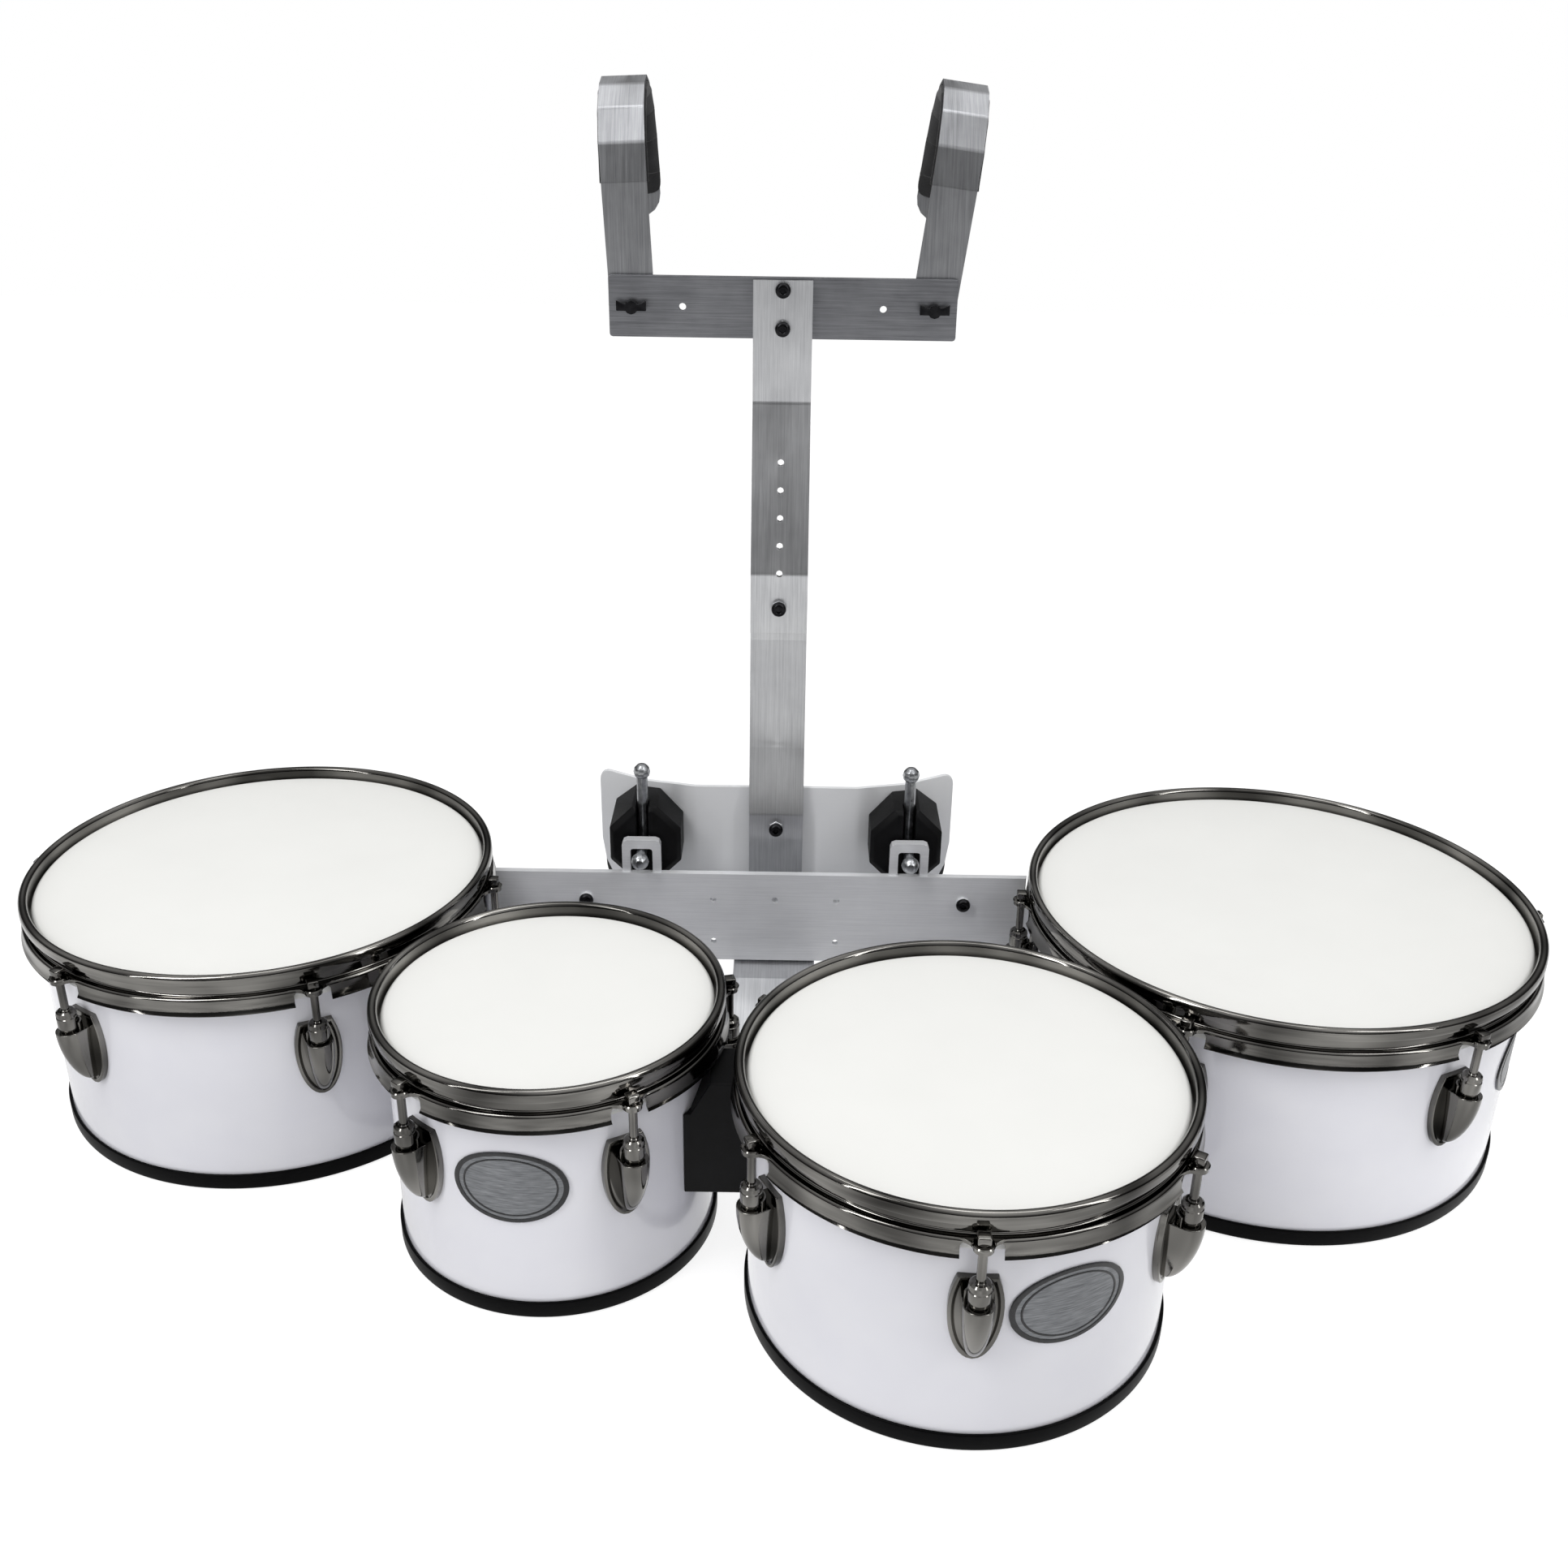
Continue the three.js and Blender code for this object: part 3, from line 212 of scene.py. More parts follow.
def finish(piece, kind, **settings):
    """Adds a modifier with its settings and applies it."""
    take_up(piece)
    modifier = piece.modifiers.new(kind.title(), kind)
    for key, value in settings.items():
        setattr(modifier, key, value)
    bpy.ops.object.modifier_apply(modifier=modifier.name)


def soften(piece, width, segments=2, angle=30):
    """Rounds the edges that fold by more than an angle in degrees."""
    finish(
        piece,
        "BEVEL",
        width=width,
        segments=segments,
        limit_method="ANGLE",
        angle_limit=math.radians(angle),
        harden_normals=False,
    )


def smooth(piece, angle=35):
    """Shades a piece smooth, but for edges that fold by more than an angle in degrees."""
    take_up(piece)
    bpy.ops.object.shade_smooth_by_angle(angle=math.radians(angle))
    piece.select_set(False)


def carve(piece, cutter):
    """Cuts a piece with another, which is used up."""
    finish(piece, "BOOLEAN", operation="DIFFERENCE", solver="EXACT", object=cutter)
    bpy.data.objects.remove(cutter, do_unlink=True)


def joined(name, pieces):
    """Joins pieces into the first one."""
    look_at_none()
    for piece in pieces:
        piece.select_set(True)
    bpy.context.view_layer.objects.active = pieces[0]
    bpy.ops.object.join()
    pieces[0].name = name
    return pieces[0]


def settle(piece, matrix):
    """Puts a piece in its place in its mesh, so that its object stays at the origin."""
    piece.data.transform(matrix @ piece.matrix_world)
    piece.matrix_world = Matrix.Identity(4)
    return piece


def copied(piece, name):
    """A copy with its own mesh."""
    twin = piece.copy()
    twin.data = piece.data.copy()
    twin.name = name
    bpy.context.collection.objects.link(twin)
    return twin


def arc(r, z, reach_r, reach_z, start, end, count):
    """Points of an arc about (r, z), with its angles in degrees."""
    angles = [math.radians(start + (end - start) * i / count) for i in range(count + 1)]
    return [(r + reach_r * math.cos(a), z + reach_z * math.sin(a)) for a in angles]


def even_shading(piece, angle=35):
    """Smooth by angle, with the flat faces kept flat by weighted normals."""
    smooth(piece, angle)
    finish(piece, "WEIGHTED_NORMAL", keep_sharp=True, weight=80)


def loose_copy(node, name):
    """A copy of a node, free of its body and in edit mode with all of it selected."""
    piece = copied(frame["nodes"][node], name)
    piece.parent = None
    piece.matrix_world = Matrix.Identity(4)
    piece.hide_render = False
    piece.hide_set(False)
    take_up(piece)
    bpy.ops.object.mode_set(mode="EDIT")
    bpy.ops.mesh.select_mode(type="VERT")
    bpy.ops.mesh.select_all(action="SELECT")
    return piece


def round_bends(piece, width, shortest=20 * MM, least=8, most=60):
    """Rounds the folds that run across a bent bar: long edges along X, folded by an angle."""
    weights = piece.data.attributes.new("bevel_weight_edge", "FLOAT", "EDGE")
    mesh = bmesh.new()
    mesh.from_mesh(piece.data)
    for edge in mesh.edges:
        along = edge.verts[1].co - edge.verts[0].co
        across = along.length > shortest and abs(along.x) > 0.8 * along.length
        fold = math.degrees(edge.calc_face_angle(0))
        weights.data[edge.index].value = 1.0 if across and least < fold < most else 0.0
    mesh.free()
    finish(piece, "BEVEL", width=width, segments=4, limit_method="WEIGHT", loop_slide=False)


def skin_of(node, round_over, angle, bend=0.0):
    """A copy of a node with its triangles merged, its flats dissolved and its edges rounded."""
    piece = loose_copy(node, f"{node}_skin")
    bpy.ops.mesh.remove_doubles(threshold=SAME_CORNER)
    bpy.ops.mesh.dissolve_limited(angle_limit=math.radians(0.5))
    bpy.ops.object.mode_set(mode="OBJECT")
    if bend:
        round_bends(piece, bend)
    soften(piece, round_over)
    if bend:
        finish(piece, "WELD", merge_threshold=SAME_BEND)
    even_shading(piece, angle)
    return piece


def ride_with(piece, node, material):
    """The piece rides on the body of a node and takes its finish."""
    piece.data.materials.clear()
    piece.data.materials.append(material)
    body = next(b for b, names in bodies().items() if node in names)
    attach(piece, body)


def hand_over(piece, node, material):
    """The piece stands for a node and rides on its body."""
    ride_with(piece, node, material)
    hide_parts(node)


def bodies():
    """Names of the nodes of each body, from the record."""
    return frame["record"]["behaviour"]["bodies"]


# Materials


def linear(hex_value):
    """Linear colour of an sRGB hex value such as 0xF2F2F4."""
    def channel(shift):
        c = ((hex_value >> shift) & 255) / 255
        return c / 12.92 if c <= 0.04045 else ((c + 0.055) / 1.055) ** 2.4
    return (channel(16), channel(8), channel(0), 1.0)


def fill(tree, node, inputs):
    """Sets inputs by name or number, or links a socket to them."""
    for key, value in inputs.items():
        if isinstance(value, bpy.types.NodeSocket):
            tree.links.new(value, node.inputs[key])
        else:
            node.inputs[key].default_value = value


def add(tree, kind, inputs=None, output=0, stops=(), **settings):
    """Adds a shader node with its settings and links, and hands back one of its outputs."""
    node = tree.nodes.new(f"ShaderNode{kind}")
    for key, value in settings.items():
        setattr(node, key, value)
    for i, (position, shade) in enumerate(stops):
        elements = node.color_ramp.elements
        stop = elements[i] if i < 2 else elements.new(position)
        stop.position = position
        stop.color = shade
    fill(tree, node, inputs or {})
    return node.outputs[output] if node.outputs else None


def surface(name, patterns, colour, rough, relief, blend=None, **constants):
    """A material whose colour, roughness and relief follow patterns on the object's coordinates.

    patterns: per name the size of its lumps in mm, detail, roughness, and share of each axis.
    colour: pattern, dark and light colour, and the span of the pattern between them.
    rough: pattern, least and greatest roughness, or one number for all of the surface.
    relief: pattern, depth in mm and strength.
    blend: name of a pattern mixed from two others, those two, and the second one's share.
    """
    material = bpy.data.materials.new(name)
    material.use_nodes = True
    tree = material.node_tree
    place = add(tree, "TexCoord", output="Object")
    level = {}
    for key, (size, detail, harshness, shares) in patterns.items():
        vector = add(tree, "Mapping", {"Vector": place, "Scale": shares})
        level[key] = add(tree, "TexNoise", {
            "Vector": vector, "Scale": 1 / (size * MM), "Detail": detail, "Roughness": harshness,
        })
    if blend:
        key, first, second, share = blend
        mixed = {"Factor": share, "A": level[first], "B": level[second]}
        level[key] = add(tree, "Mix", mixed, data_type="FLOAT")
    key, dark, light, low, high = colour
    tone = add(
        tree, "ValToRGB", {"Fac": level[key]}, stops=((low, linear(dark)), (high, linear(light)))
    )
    if isinstance(rough, tuple):
        key, least, greatest = rough
        rough = add(tree, "MapRange", {"Value": level[key], "To Min": least, "To Max": greatest})
    key, depth, strength = relief
    normal = add(
        tree, "Bump", {"Height": level[key], "Distance": depth * MM, "Strength": strength}
    )
    shader = tree.nodes["Principled BSDF"]
    fill(tree, shader, {"Base Color": tone, "Roughness": rough, "Normal": normal})
    fill(tree, shader, {key.replace("_", " "): value for key, value in constants.items()})
    return material


EVEN = (1, 1, 1)


def gloss_lacquer(colour):
    """Gloss white lacquer on a wood shell: deep clear coat, with a slow waviness of the plies."""
    patterns = {"waves": (34, 1.5, 0.55, EVEN), "dust": (1.1, 2.0, 0.55, EVEN)}
    return surface(
        "gloss_white_lacquer", patterns, ("waves", colour, 0xEDEDF2, 0.35, 0.7),
        ("dust", 0.16, 0.26), ("waves", 0.25, 0.35),
        IOR=1.5, Coat_Weight=0.6, Coat_Roughness=0.06,
    )


def coated_film(colour):
    """Coated polyester film: a fine sprayed grit on a white, slightly see-through sheet."""
    patterns = {"grit": (0.9, 4.0, 0.7, EVEN), "cloud": (60, 2.0, 0.55, EVEN)}
    return surface(
        "coated_white_film", patterns, ("cloud", colour, 0xECECE9, 0.2, 0.8),
        ("grit", 0.5, 0.68), ("grit", 0.06, 0.5),
        Subsurface_Weight=0.08, Subsurface_Radius=(4 * MM, 4 * MM, 4 * MM),
    )


def black_nickel(colour):
    """Black nickel plate on pressed steel: a dark warm-grey mirror with faint polish marks, and
    large lighter patches in its colour that are painted reflections.
    """
    patterns = {"polish": (4, 4.0, 0.55, (1, 1, 5)), "painted_reflections": (52, 1.0, 0.55, EVEN)}
    # Large lighter patches of the colour are painted reflections along the hoops and lugs.
    return surface(
        "black_nickel_plate", patterns, ("painted_reflections", colour, 0x92908C, 0.3, 0.75),
        ("polish", 0.04, 0.12), ("polish", 0.05, 0.3), Metallic=1.0,
    )


def brushed_aluminium(name, colour, along, metal, rough=0.3, light=0xECEDEF):
    """Mill-finish aluminium bar: hair lines along the rolling direction, with cloudy handling.

    Lighter colours with a lower metal share paint light, and darker colours paint shade, on copies
    of this one metal.
    """
    shares = tuple(0.02 if axis in along else 1 for axis in range(3))
    patterns = {"hair": (0.9, 6.0, 0.7, shares), "cloud": (38, 3.0, 0.55, EVEN)}
    return surface(
        name, patterns, ("tone", colour, light, 0.3, 0.75),
        ("tone", rough, rough + 0.16), ("hair", 0.05, 0.5),
        blend=("tone", "hair", "cloud", 0.35), Metallic=metal, Anisotropic=0.55,
    )


def zinc_steel(name, colour, film_colour=0xC4C6C9):
    """Plated steel rods and screws, with a faint milky film."""
    return surface(
        name, {"film": (5, 3.0, 0.55, EVEN)}, ("film", colour, film_colour, 0.3, 0.75),
        ("film", 0.22, 0.38), ("film", 0.04, 0.4), Metallic=1.0,
    )


def moulded_nylon(colour):
    """Moulded black nylon: satin skin with a fine spark-eroded grain."""
    patterns = {"grain": (1.2, 3.0, 0.55, EVEN), "haze": (22, 2.0, 0.55, EVEN)}
    return surface(
        "moulded_black_nylon", patterns, ("haze", colour, 0x0E0E10, 0.35, 0.75),
        ("grain", 0.42, 0.6), ("grain", 0.08, 0.6), Specular_IOR_Level=0.15,
    )


def foot_vinyl(colour):
    """Black vinyl foot ring: satin skin with scuffs where it rubs the floor."""
    return surface(
        "black_foot_vinyl", {"scuff": (6, 5.0, 0.65, (1, 1, 3))},
        ("scuff", colour, 0x0C0C0D, 0.45, 0.8),
        ("scuff", 0.3, 0.5), ("scuff", 0.05, 0.4), Specular_IOR_Level=0.06,
    )


def badge_foil(colour):
    """Brushed badge field: short horizontal hair lines on a satin silver foil."""
    return surface(
        "brushed_badge_foil", {"hair": (0.8, 5.0, 0.55, (0.08, 0.08, 1))},
        ("hair", colour, 0x97999C, 0.3, 0.75),
        ("hair", 0.3, 0.45), ("hair", 0.04, 0.5), Metallic=0.85,
    )


def badge_enamel():
    """Black enamel lines of the badges: gloss, with a slight orange peel."""
    return surface(
        "black_badge_enamel", {"peel": (2.5, 2.0, 0.55, EVEN)},
        ("peel", 0x121214, 0x26272A, 0.3, 0.75), ("peel", 0.18, 0.3), ("peel", 0.04, 0.4),
    )


def foam_cover(colour):
    """Neoprene-covered foam: matt black knit skin that soaks up light, with a fine weave."""
    patterns = {"weave": (1.4, 3.0, 0.55, EVEN), "nap": (14, 2.0, 0.55, EVEN)}
    return surface(
        "black_foam_cover", patterns, ("nap", colour, 0x202022, 0.3, 0.75),
        0.92, ("weave", 0.25, 0.6), Sheen_Weight=0.25, Sheen_Roughness=0.5,
    )


MATERIALS = {}


def make_materials(colours):
    bars = hex_of(colours.aluminium)
    MATERIALS.update(
        gloss=gloss_lacquer(hex_of(colours.shell)),
        film=coated_film(hex_of(colours.film)),
        nickel=black_nickel(hex_of(colours.nickel)),
        edge=foot_vinyl(0x030304),
        # One aluminium for all bars: the rear bar and belly plate get lighter colours and less
        # metal as painted light, the crossbar and hooks darker colours as painted shade.
        bar_x=brushed_aluminium("brushed_rear_bar", 0xD4D5D8, (0, 1), 0.4),
        cross=brushed_aluminium("brushed_crossbar", 0x66676B, (0,), 0.9, light=0xA2A3A7),
        bar_y=brushed_aluminium("brushed_arm", bars, (1, 2), 0.9),
        bar_z=brushed_aluminium("brushed_upright", bars, (1, 2), 0.9, rough=0.24),
        hook=brushed_aluminium("brushed_hook", 0x7E7F82, (1, 2), 0.95, light=0xBCBDC0),
        plate=brushed_aluminium("satin_belly_plate", 0xEEEFF1, (0,), 0.3, rough=0.42),
        badge=badge_foil(hex_of(colours.badge)),
        nylon=moulded_nylon(0x060607),
        steel=zinc_steel("zinc_plated_steel", 0x8C8E91),
        screw=zinc_steel("black_oxide_steel", 0x1C1C1E, 0x333335),
        enamel=badge_enamel(),
        foam=foam_cover(0x0B0B0C),
    )


def hex_of(colour):
    """sRGB hex value of a colour property, whose channels are held in sRGB."""
    red, green, blue = (round(255 * c) for c in colour)
    return (red << 16) + (green << 8) + blue


# Properties


def length(label, text, default):
    return FloatProperty(name=label, description=text, default=default * MM, unit="LENGTH", min=0.0)


def angle(label, text, default):
    return FloatProperty(name=label, description=text, default=default, subtype="ANGLE")


def number(label, text, default):
    return FloatProperty(name=label, description=text, default=default, min=0.0)


def colour(label, text, value):
    channels = tuple(((value >> shift) & 255) / 255 for shift in (16, 8, 0))
    return FloatVectorProperty(
        name=label,
        description=text,
        default=channels,
        size=3,
        subtype="COLOR_GAMMA",
        min=0.0,
        max=1.0,
    )


class TENOR_PG_drum_sizes(bpy.types.PropertyGroup):
    """Sizes of the turned pieces of each drum"""

    steps: IntProperty(name="Steps", description="Faces round each drum", default=160, min=24)
    shell_wall: length("Shell wall", "Thickness of the shell", 6)
    bearing_round: length("Bearing edge round", "Rounding of the shell's top edge", 1.4)
    film: length("Film", "Thickness of the head's film", 1)
    collar_radius: length("Collar radius", "Rounding of the head's collar", 3)
    flesh_width: length("Flesh hoop width", "Width of the head's flesh hoop", 4.2)
    flesh_height: length("Flesh hoop height", "Height of the head's flesh hoop", 6.5)
    ring_height: length("Foot ring height", "Height of the black foot ring", 12)
    ring_wall: length("Foot ring wall", "Thickness of the black foot ring", 2)


class TENOR_PG_hoop_sizes(bpy.types.PropertyGroup):
    """Sizes of the triple-flanged counterhoops"""

    throat: length("Throat", "Room from the shell's outside to the hoop's inner wall", 2.5)
    sheet: length("Sheet", "Thickness of the pressed steel", 1.8)
    rim_reach: length("Rim reach", "How far the rolled rim stands out from the inner wall", 6)
    rim_height: length("Rim height", "From the rim's top to the edge of its outer fold", 7.4)
    step_depth: length("Step depth", "From the rim's top down to the step", 15.8)
    step_reach: length("Step reach", "From the inner wall out to the skirt's face", 6.5)
    flare: length("Skirt flare", "How far the skirt's foot turns out", 1.5)
    ear_end: length("Ear end", "Radius of the round end of an ear", 5.5)
    ear_root: length("Ear root", "Width of an ear at the skirt", 30)
    ear_sheet: length("Ear sheet", "Thickness of an ear", 2.4)
    ear_round: length("Ear round", "Rounding of an ear's edges", 0.7)
    notch: length("Notch", "Width of the cut in the skirt under an ear", 23)
    notch_corner: length("Notch corner", "Rounding of the cut's upper corners", 3)


class TENOR_PG_lug_sizes(bpy.types.PropertyGroup):
    """Sizes of the lug casings and tension rods"""

    foot: length("Foot", "Height of the casing's lower tip", 68.6)
    height: length("Height", "Height of the egg-shaped flange", 56)
    width: length("Width", "Width of the egg-shaped flange", 30)
    flange: length("Flange", "Thickness of the flange", 3.4)
    rim: length("Rim", "Width of the flange's raised rim", 2.4)
    sunk: length("Sunken field", "Depth of the field inside the rim", 1.2)
    nose_foot: length("Nose foot", "Height where the nose starts above the lower tip", 5)
    ledge: length("Ledge", "Height of the nose's ledge above the lower tip", 47.4)
    nose_radius: length("Nose radius", "Radius of the nose at its ledge", 8.6)
    nut_radius: length("Nut radius", "Radius of the nut on the ledge", 6.4)
    nut_height: length("Nut height", "Height of the nut on the ledge", 15)
    rod_radius: length("Rod radius", "Radius of the tension rod", 2.6)
    head_square: length("Rod head", "Width of the rod's square head", 7.2)
    head_height: length("Rod head height", "Height of the rod's square head", 4.9)


class TENOR_PG_carrier_sizes(bpy.types.PropertyGroup):
    """Sizes of the screws and the bends of the carrier"""

    screw_radius: length("Screw radius", "Radius of the button heads", 5.2)
    screw_height: length("Screw height", "Height of the button heads", 3.4)
    socket_radius: length("Socket radius", "Radius of the sockets of the button heads", 2.184)
    hook_bend: length("Hook bend", "Rounding of the folds of the shoulder hooks", 2.6)


class TENOR_PG_badge_sizes(bpy.types.PropertyGroup):
    """Sizes of the oval badges"""

    width: length("Width", "Width of the oval", 73)
    height: length("Height", "Height of the oval", 50)
    field_rise: length("Field rise", "How far the field stands out from the shell", 1.1)
    line_rise: length("Line rise", "How far the frame and the line stand out", 1.4)
    frame_share: number("Frame", "The dark frame's share of the oval", 0.1)
    line_share: number("Line", "Where the dark inner line lies, as a share of the oval", 0.8)


class TENOR_PG_colours(bpy.types.PropertyGroup):
    """Colours of the finishes"""

    shell: colour("Shell", "Gloss lacquer", 0xEAEAF0)
    film: colour("Film", "Coated film", 0xE9E9E6)
    nickel: colour("Black nickel", "Plated hoops and lugs", 0x3E3D3B)
    aluminium: colour("Aluminium", "Bars of the carrier", 0xB4B5B8)
    badge: colour("Badge", "Brushed field of the badges", 0x65676A)


class TENOR_PG_studio(bpy.types.PropertyGroup):
    """Camera and light"""

    camera_back: length("Camera distance", "In front of the twelve inch drum's axis", 985)
    camera_side: length("Camera offset", "To the right of the upright", 5.5)
    camera_height: length("Camera height", "Above the floor", 693.5)
    camera_pitch: angle("Camera pitch", "How far the camera looks down", math.radians(25))
    camera_roll: angle("Camera roll", "Turn of the picture", 0.015)
    room_light: number("Room", "Brightness of the room in mirrors", 1.0)
    soft_light: number("Soft light", "Brightness of the light on matt faces", 0.58)
    floor_in_mirrors: number("Floor in mirrors", "Brightness of the floor in polished faces", 1.0)
    key_light: number("Key light", "Power in watts", 16)
    fill_light: number("Fill light", "Power in watts", 7)
    top_light: number("Top light", "Power in watts", 7)
    strip_light: number("Side strips", "Power in watts", 4)
    focal_share: number("Focal share", "Focal length against the picture's width", FOCAL_SHARE)


# Drums


def shell_piece(drum, sizes):
    """Wood shell with a rounded bearing edge, open at both ends."""
    low, high = box(f"{drum}_shell")
    outer = shell_radius(drum)
    inner = outer - sizes.shell_wall
    round_over = sizes.bearing_round
    outline = [
        (outer, low.z),
        (outer, high.z - round_over),
        *arc(outer - round_over, high.z - round_over, round_over, round_over, 20, 90, 4),
        (inner, high.z - 3 * round_over),
        (inner, low.z),
    ]
    return turned(f"{drum}_shell_skin", outline, sizes.steps)


def head_piece(drum, sizes):
    """Film drawn over the bearing edge, with its collar and the flesh hoop."""
    low, high = box(f"{drum}_head")
    outer = shell_radius(drum) + SEAT_GAP
    film = sizes.film
    radius = sizes.collar_radius
    flesh_top = low.z + sizes.flesh_height
    outline = [
        (0, high.z),
        *arc(outer + film - radius, high.z - radius, radius, radius, 90, 0, 8),
        (outer + film, flesh_top),
        (outer + film + sizes.flesh_width, flesh_top),
        (outer + film + sizes.flesh_width, low.z),
        (outer, low.z),
        *arc(outer - radius + film, high.z - radius, radius - film, radius - film, 0, 90, 6),
        (0, high.z - film),
    ]
    return turned(f"{drum}_head_film", outline, sizes.steps, closed=False)


def edge_ring_piece(drum, sizes):
    """Black ring that clips round the shell's foot, with a rounded lower lip."""
    wall = sizes.ring_wall
    inner = shell_radius(drum) + SEAT_GAP
    outer = inner + wall
    lip = shell_radius(drum) - sizes.shell_wall
    top = sizes.ring_height
    outline = [
        (lip, 0),
        *arc(outer - wall, wall, wall, wall, 270, 360, 5),
        *arc(outer - wall / 2, top - wall / 2, wall / 2, wall / 2, 0, 180, 6),
        (inner, wall),
        (lip, wall),
    ]
    return turned(f"{drum}_foot_ring", outline, sizes.steps)


def hoop_outline(drum, sizes):
    """Section of the hoop: folded rim over the wall, step over the flesh hoop, and flared skirt."""
    top = box(f"{drum}_hoop")[1].z
    foot = box(f"{drum}_hoop")[0].z
    sheet = sizes.sheet
    throat = shell_radius(drum) + sizes.throat
    wall = throat + sheet
    lip = throat + sizes.rim_reach
    skirt = throat + sizes.step_reach
    step_top = top - sizes.step_depth
    bend = sizes.rim_reach / 2
    fold = top - sizes.rim_height
    fillet = sheet * 0.8
    shoulder = sheet * 1.28
    neck = top - bend - sheet / 2
    hem = sheet / 9
    return [
        (throat, step_top - sheet),
        *arc(throat + bend, top - bend, bend, bend, 180, 0, 12),
        (lip + hem, fold + sheet / 2),
        (lip - hem / 2, fold),
        (lip - sheet * 0.6, fold + hem / 2),
        (lip - sheet * 0.7, neck + 2.5 * hem),
        (wall + fillet, neck),
        *arc(wall + fillet, neck - fillet, fillet, fillet, 90, 180, 3),
        *arc(wall + fillet, step_top + fillet, fillet, fillet, 180, 270, 4),
        *arc(skirt - shoulder, step_top - shoulder, shoulder, shoulder, 90, 0, 6),
        (skirt, foot + 2 * sizes.flare),
        (skirt + sizes.flare, foot + sizes.flare / 3),
        (skirt + sizes.flare * 0.7, foot),
        (skirt - sheet, foot + 2 * sizes.flare),
        (skirt - sheet, step_top - sheet),
    ]


# Hollow sides of an ear: points along each, and how soon they turn outwards
EAR_STEPS = 6
EAR_HOLLOW = 0.8


def ear_piece(drum, sizes, rod_circle):
    """A tab that narrows with hollow sides to a round end about the rod, drawn towards +Y."""
    top = box(f"{drum}_hoop")[1].z - sizes.step_depth
    root = shell_radius(drum) + sizes.throat + sizes.step_reach - sizes.sheet
    reach = rod_circle - root
    half = sizes.ear_root / 2
    right = []
    for i in range(EAR_STEPS + 1):
        turn = math.pi / 2 * i / EAR_STEPS
        side = half - (half - sizes.ear_end) * math.sin(turn)
        right.append((side, root + reach * (1 - math.cos(turn)) ** EAR_HOLLOW))
    end = arc(0, rod_circle, sizes.ear_end, sizes.ear_end, 0, 180, 14)
    left = [(-x, y) for x, y in reversed(right)]
    outline = [*right, *end[1:-1], *left]
    level = top - sizes.ear_sheet
    piece = plate("ear", [(x, y, level) for x, y in outline], (0, 0, sizes.ear_sheet))
    soften(piece, sizes.ear_round, segments=3)
    even_shading(piece)
    return piece


def notch_cutter(drum, sizes):
    """Block with rounded upper corners that opens the skirt below an ear."""
    top = box(f"{drum}_hoop")[1].z - sizes.step_depth - sizes.sheet
    foot = box(f"{drum}_hoop")[0].z - CUT_OVERRUN
    reach = shell_radius(drum) + sizes.throat + sizes.step_reach
    half = sizes.notch / 2
    corner = sizes.notch_corner
    outline = [
        (-half, foot),
        (half, foot),
        *arc(half - corner, top - corner, corner, corner, 0, 90, 4),
        *arc(corner - half, top - corner, corner, corner, 90, 180, 4),
    ]
    near = reach - 3 * sizes.sheet
    return plate("notch", [(x, near, z) for x, z in outline], (0, 2 * CUT_OVERRUN, 0))


def hoop_piece(drum, sizes, steps):
    """Triple-flanged hoop: rolled rim, wall, step and skirt, with a notch and an ear per rod."""
    ring = turned(f"{drum}_hoop_ring", hoop_outline(drum, sizes), steps)
    smooth(ring)
    places = [rod_place(lug) for lug in lug_nodes(drum)]
    rod_circle = (places[0] - axis_of(drum)).length
    ear = ear_piece(drum, sizes, rod_circle)
    cutter = notch_cutter(drum, sizes)
    ears = []
    cutters = []
    for place in places:
        turn = Matrix.Rotation(facing(drum, place), 4, "Z")
        ears.append(settle(copied(ear, "ear"), turn))
        cutters.append(settle(copied(cutter, "notch"), turn))
    for spare in (ear, cutter):
        bpy.data.objects.remove(spare, do_unlink=True)
    carve(ring, joined("notches", cutters))
    return joined(f"{drum}_counterhoop", [ring, *ears])


class TENOR_OT_drums(bpy.types.Operator):
    """Model the shells, heads, counterhoops and foot rings of all the drums"""

    bl_idname = "tenor.drums"
    bl_label = "Drums"

    def execute(self, context):
        sizes = context.scene.tenor_drum_sizes
        hoops = context.scene.tenor_hoop_sizes
        for drum in DRUMS:
            move = Matrix.Translation(axis_of(drum))
            pieces = (
                (shell_piece(drum, sizes), "shell", "gloss", "white_gloss"),
                (head_piece(drum, sizes), "head", "film", "film"),
                (edge_ring_piece(drum, sizes), "edge_ring", "edge", "black_edge"),
                (hoop_piece(drum, hoops, sizes.steps), "hoop", "nickel", "black_nickel"),
            )
            for piece, part, material, slot in pieces:
                settle(piece, move)
                smooth(piece)
                hand_over(piece, f"{drum}_{part}", MATERIALS[material])
        return {"FINISHED"}


# Lugs

# Egg outline of the flange: height of its widest place, how far its top draws in, and its tip
BELLY_SHARE = 0.62
DRAW_SHARE = 0.28
TIP_POWER = 1.5

# Bullet nose: width of its tip, how its sides swell, its sections, and how they crowd at the tip
NOSE_TIP_SHARE = 0.2
NOSE_SWELL = 0.55
NOSE_SECTIONS = 16
NOSE_CROWDING = 1.6

# Casting: slope from the rim down to its field, and how deep a piece is set into another
RIM_SLOPE = 0.9 * MM
SET_IN = 0.5 * MM


def lug_outline(sizes, count=16):
    """Egg outline in (x, z): a round tip, a belly, and sides drawn in to a flat top."""
    half = sizes.width / 2
    right = []
    for i in range(1, count + 1):
        rise = (i / count) ** TIP_POWER
        if rise < BELLY_SHARE:
            share = math.sqrt(1 - (1 - rise / BELLY_SHARE) ** 2)
        else:
            share = 1 - DRAW_SHARE * ((rise - BELLY_SHARE) / (1 - BELLY_SHARE)) ** 2
        right.append((half * share, sizes.foot + sizes.height * rise))
    left = [(-x, z) for x, z in reversed(right)]
    return [(0, sizes.foot), *right, *left]


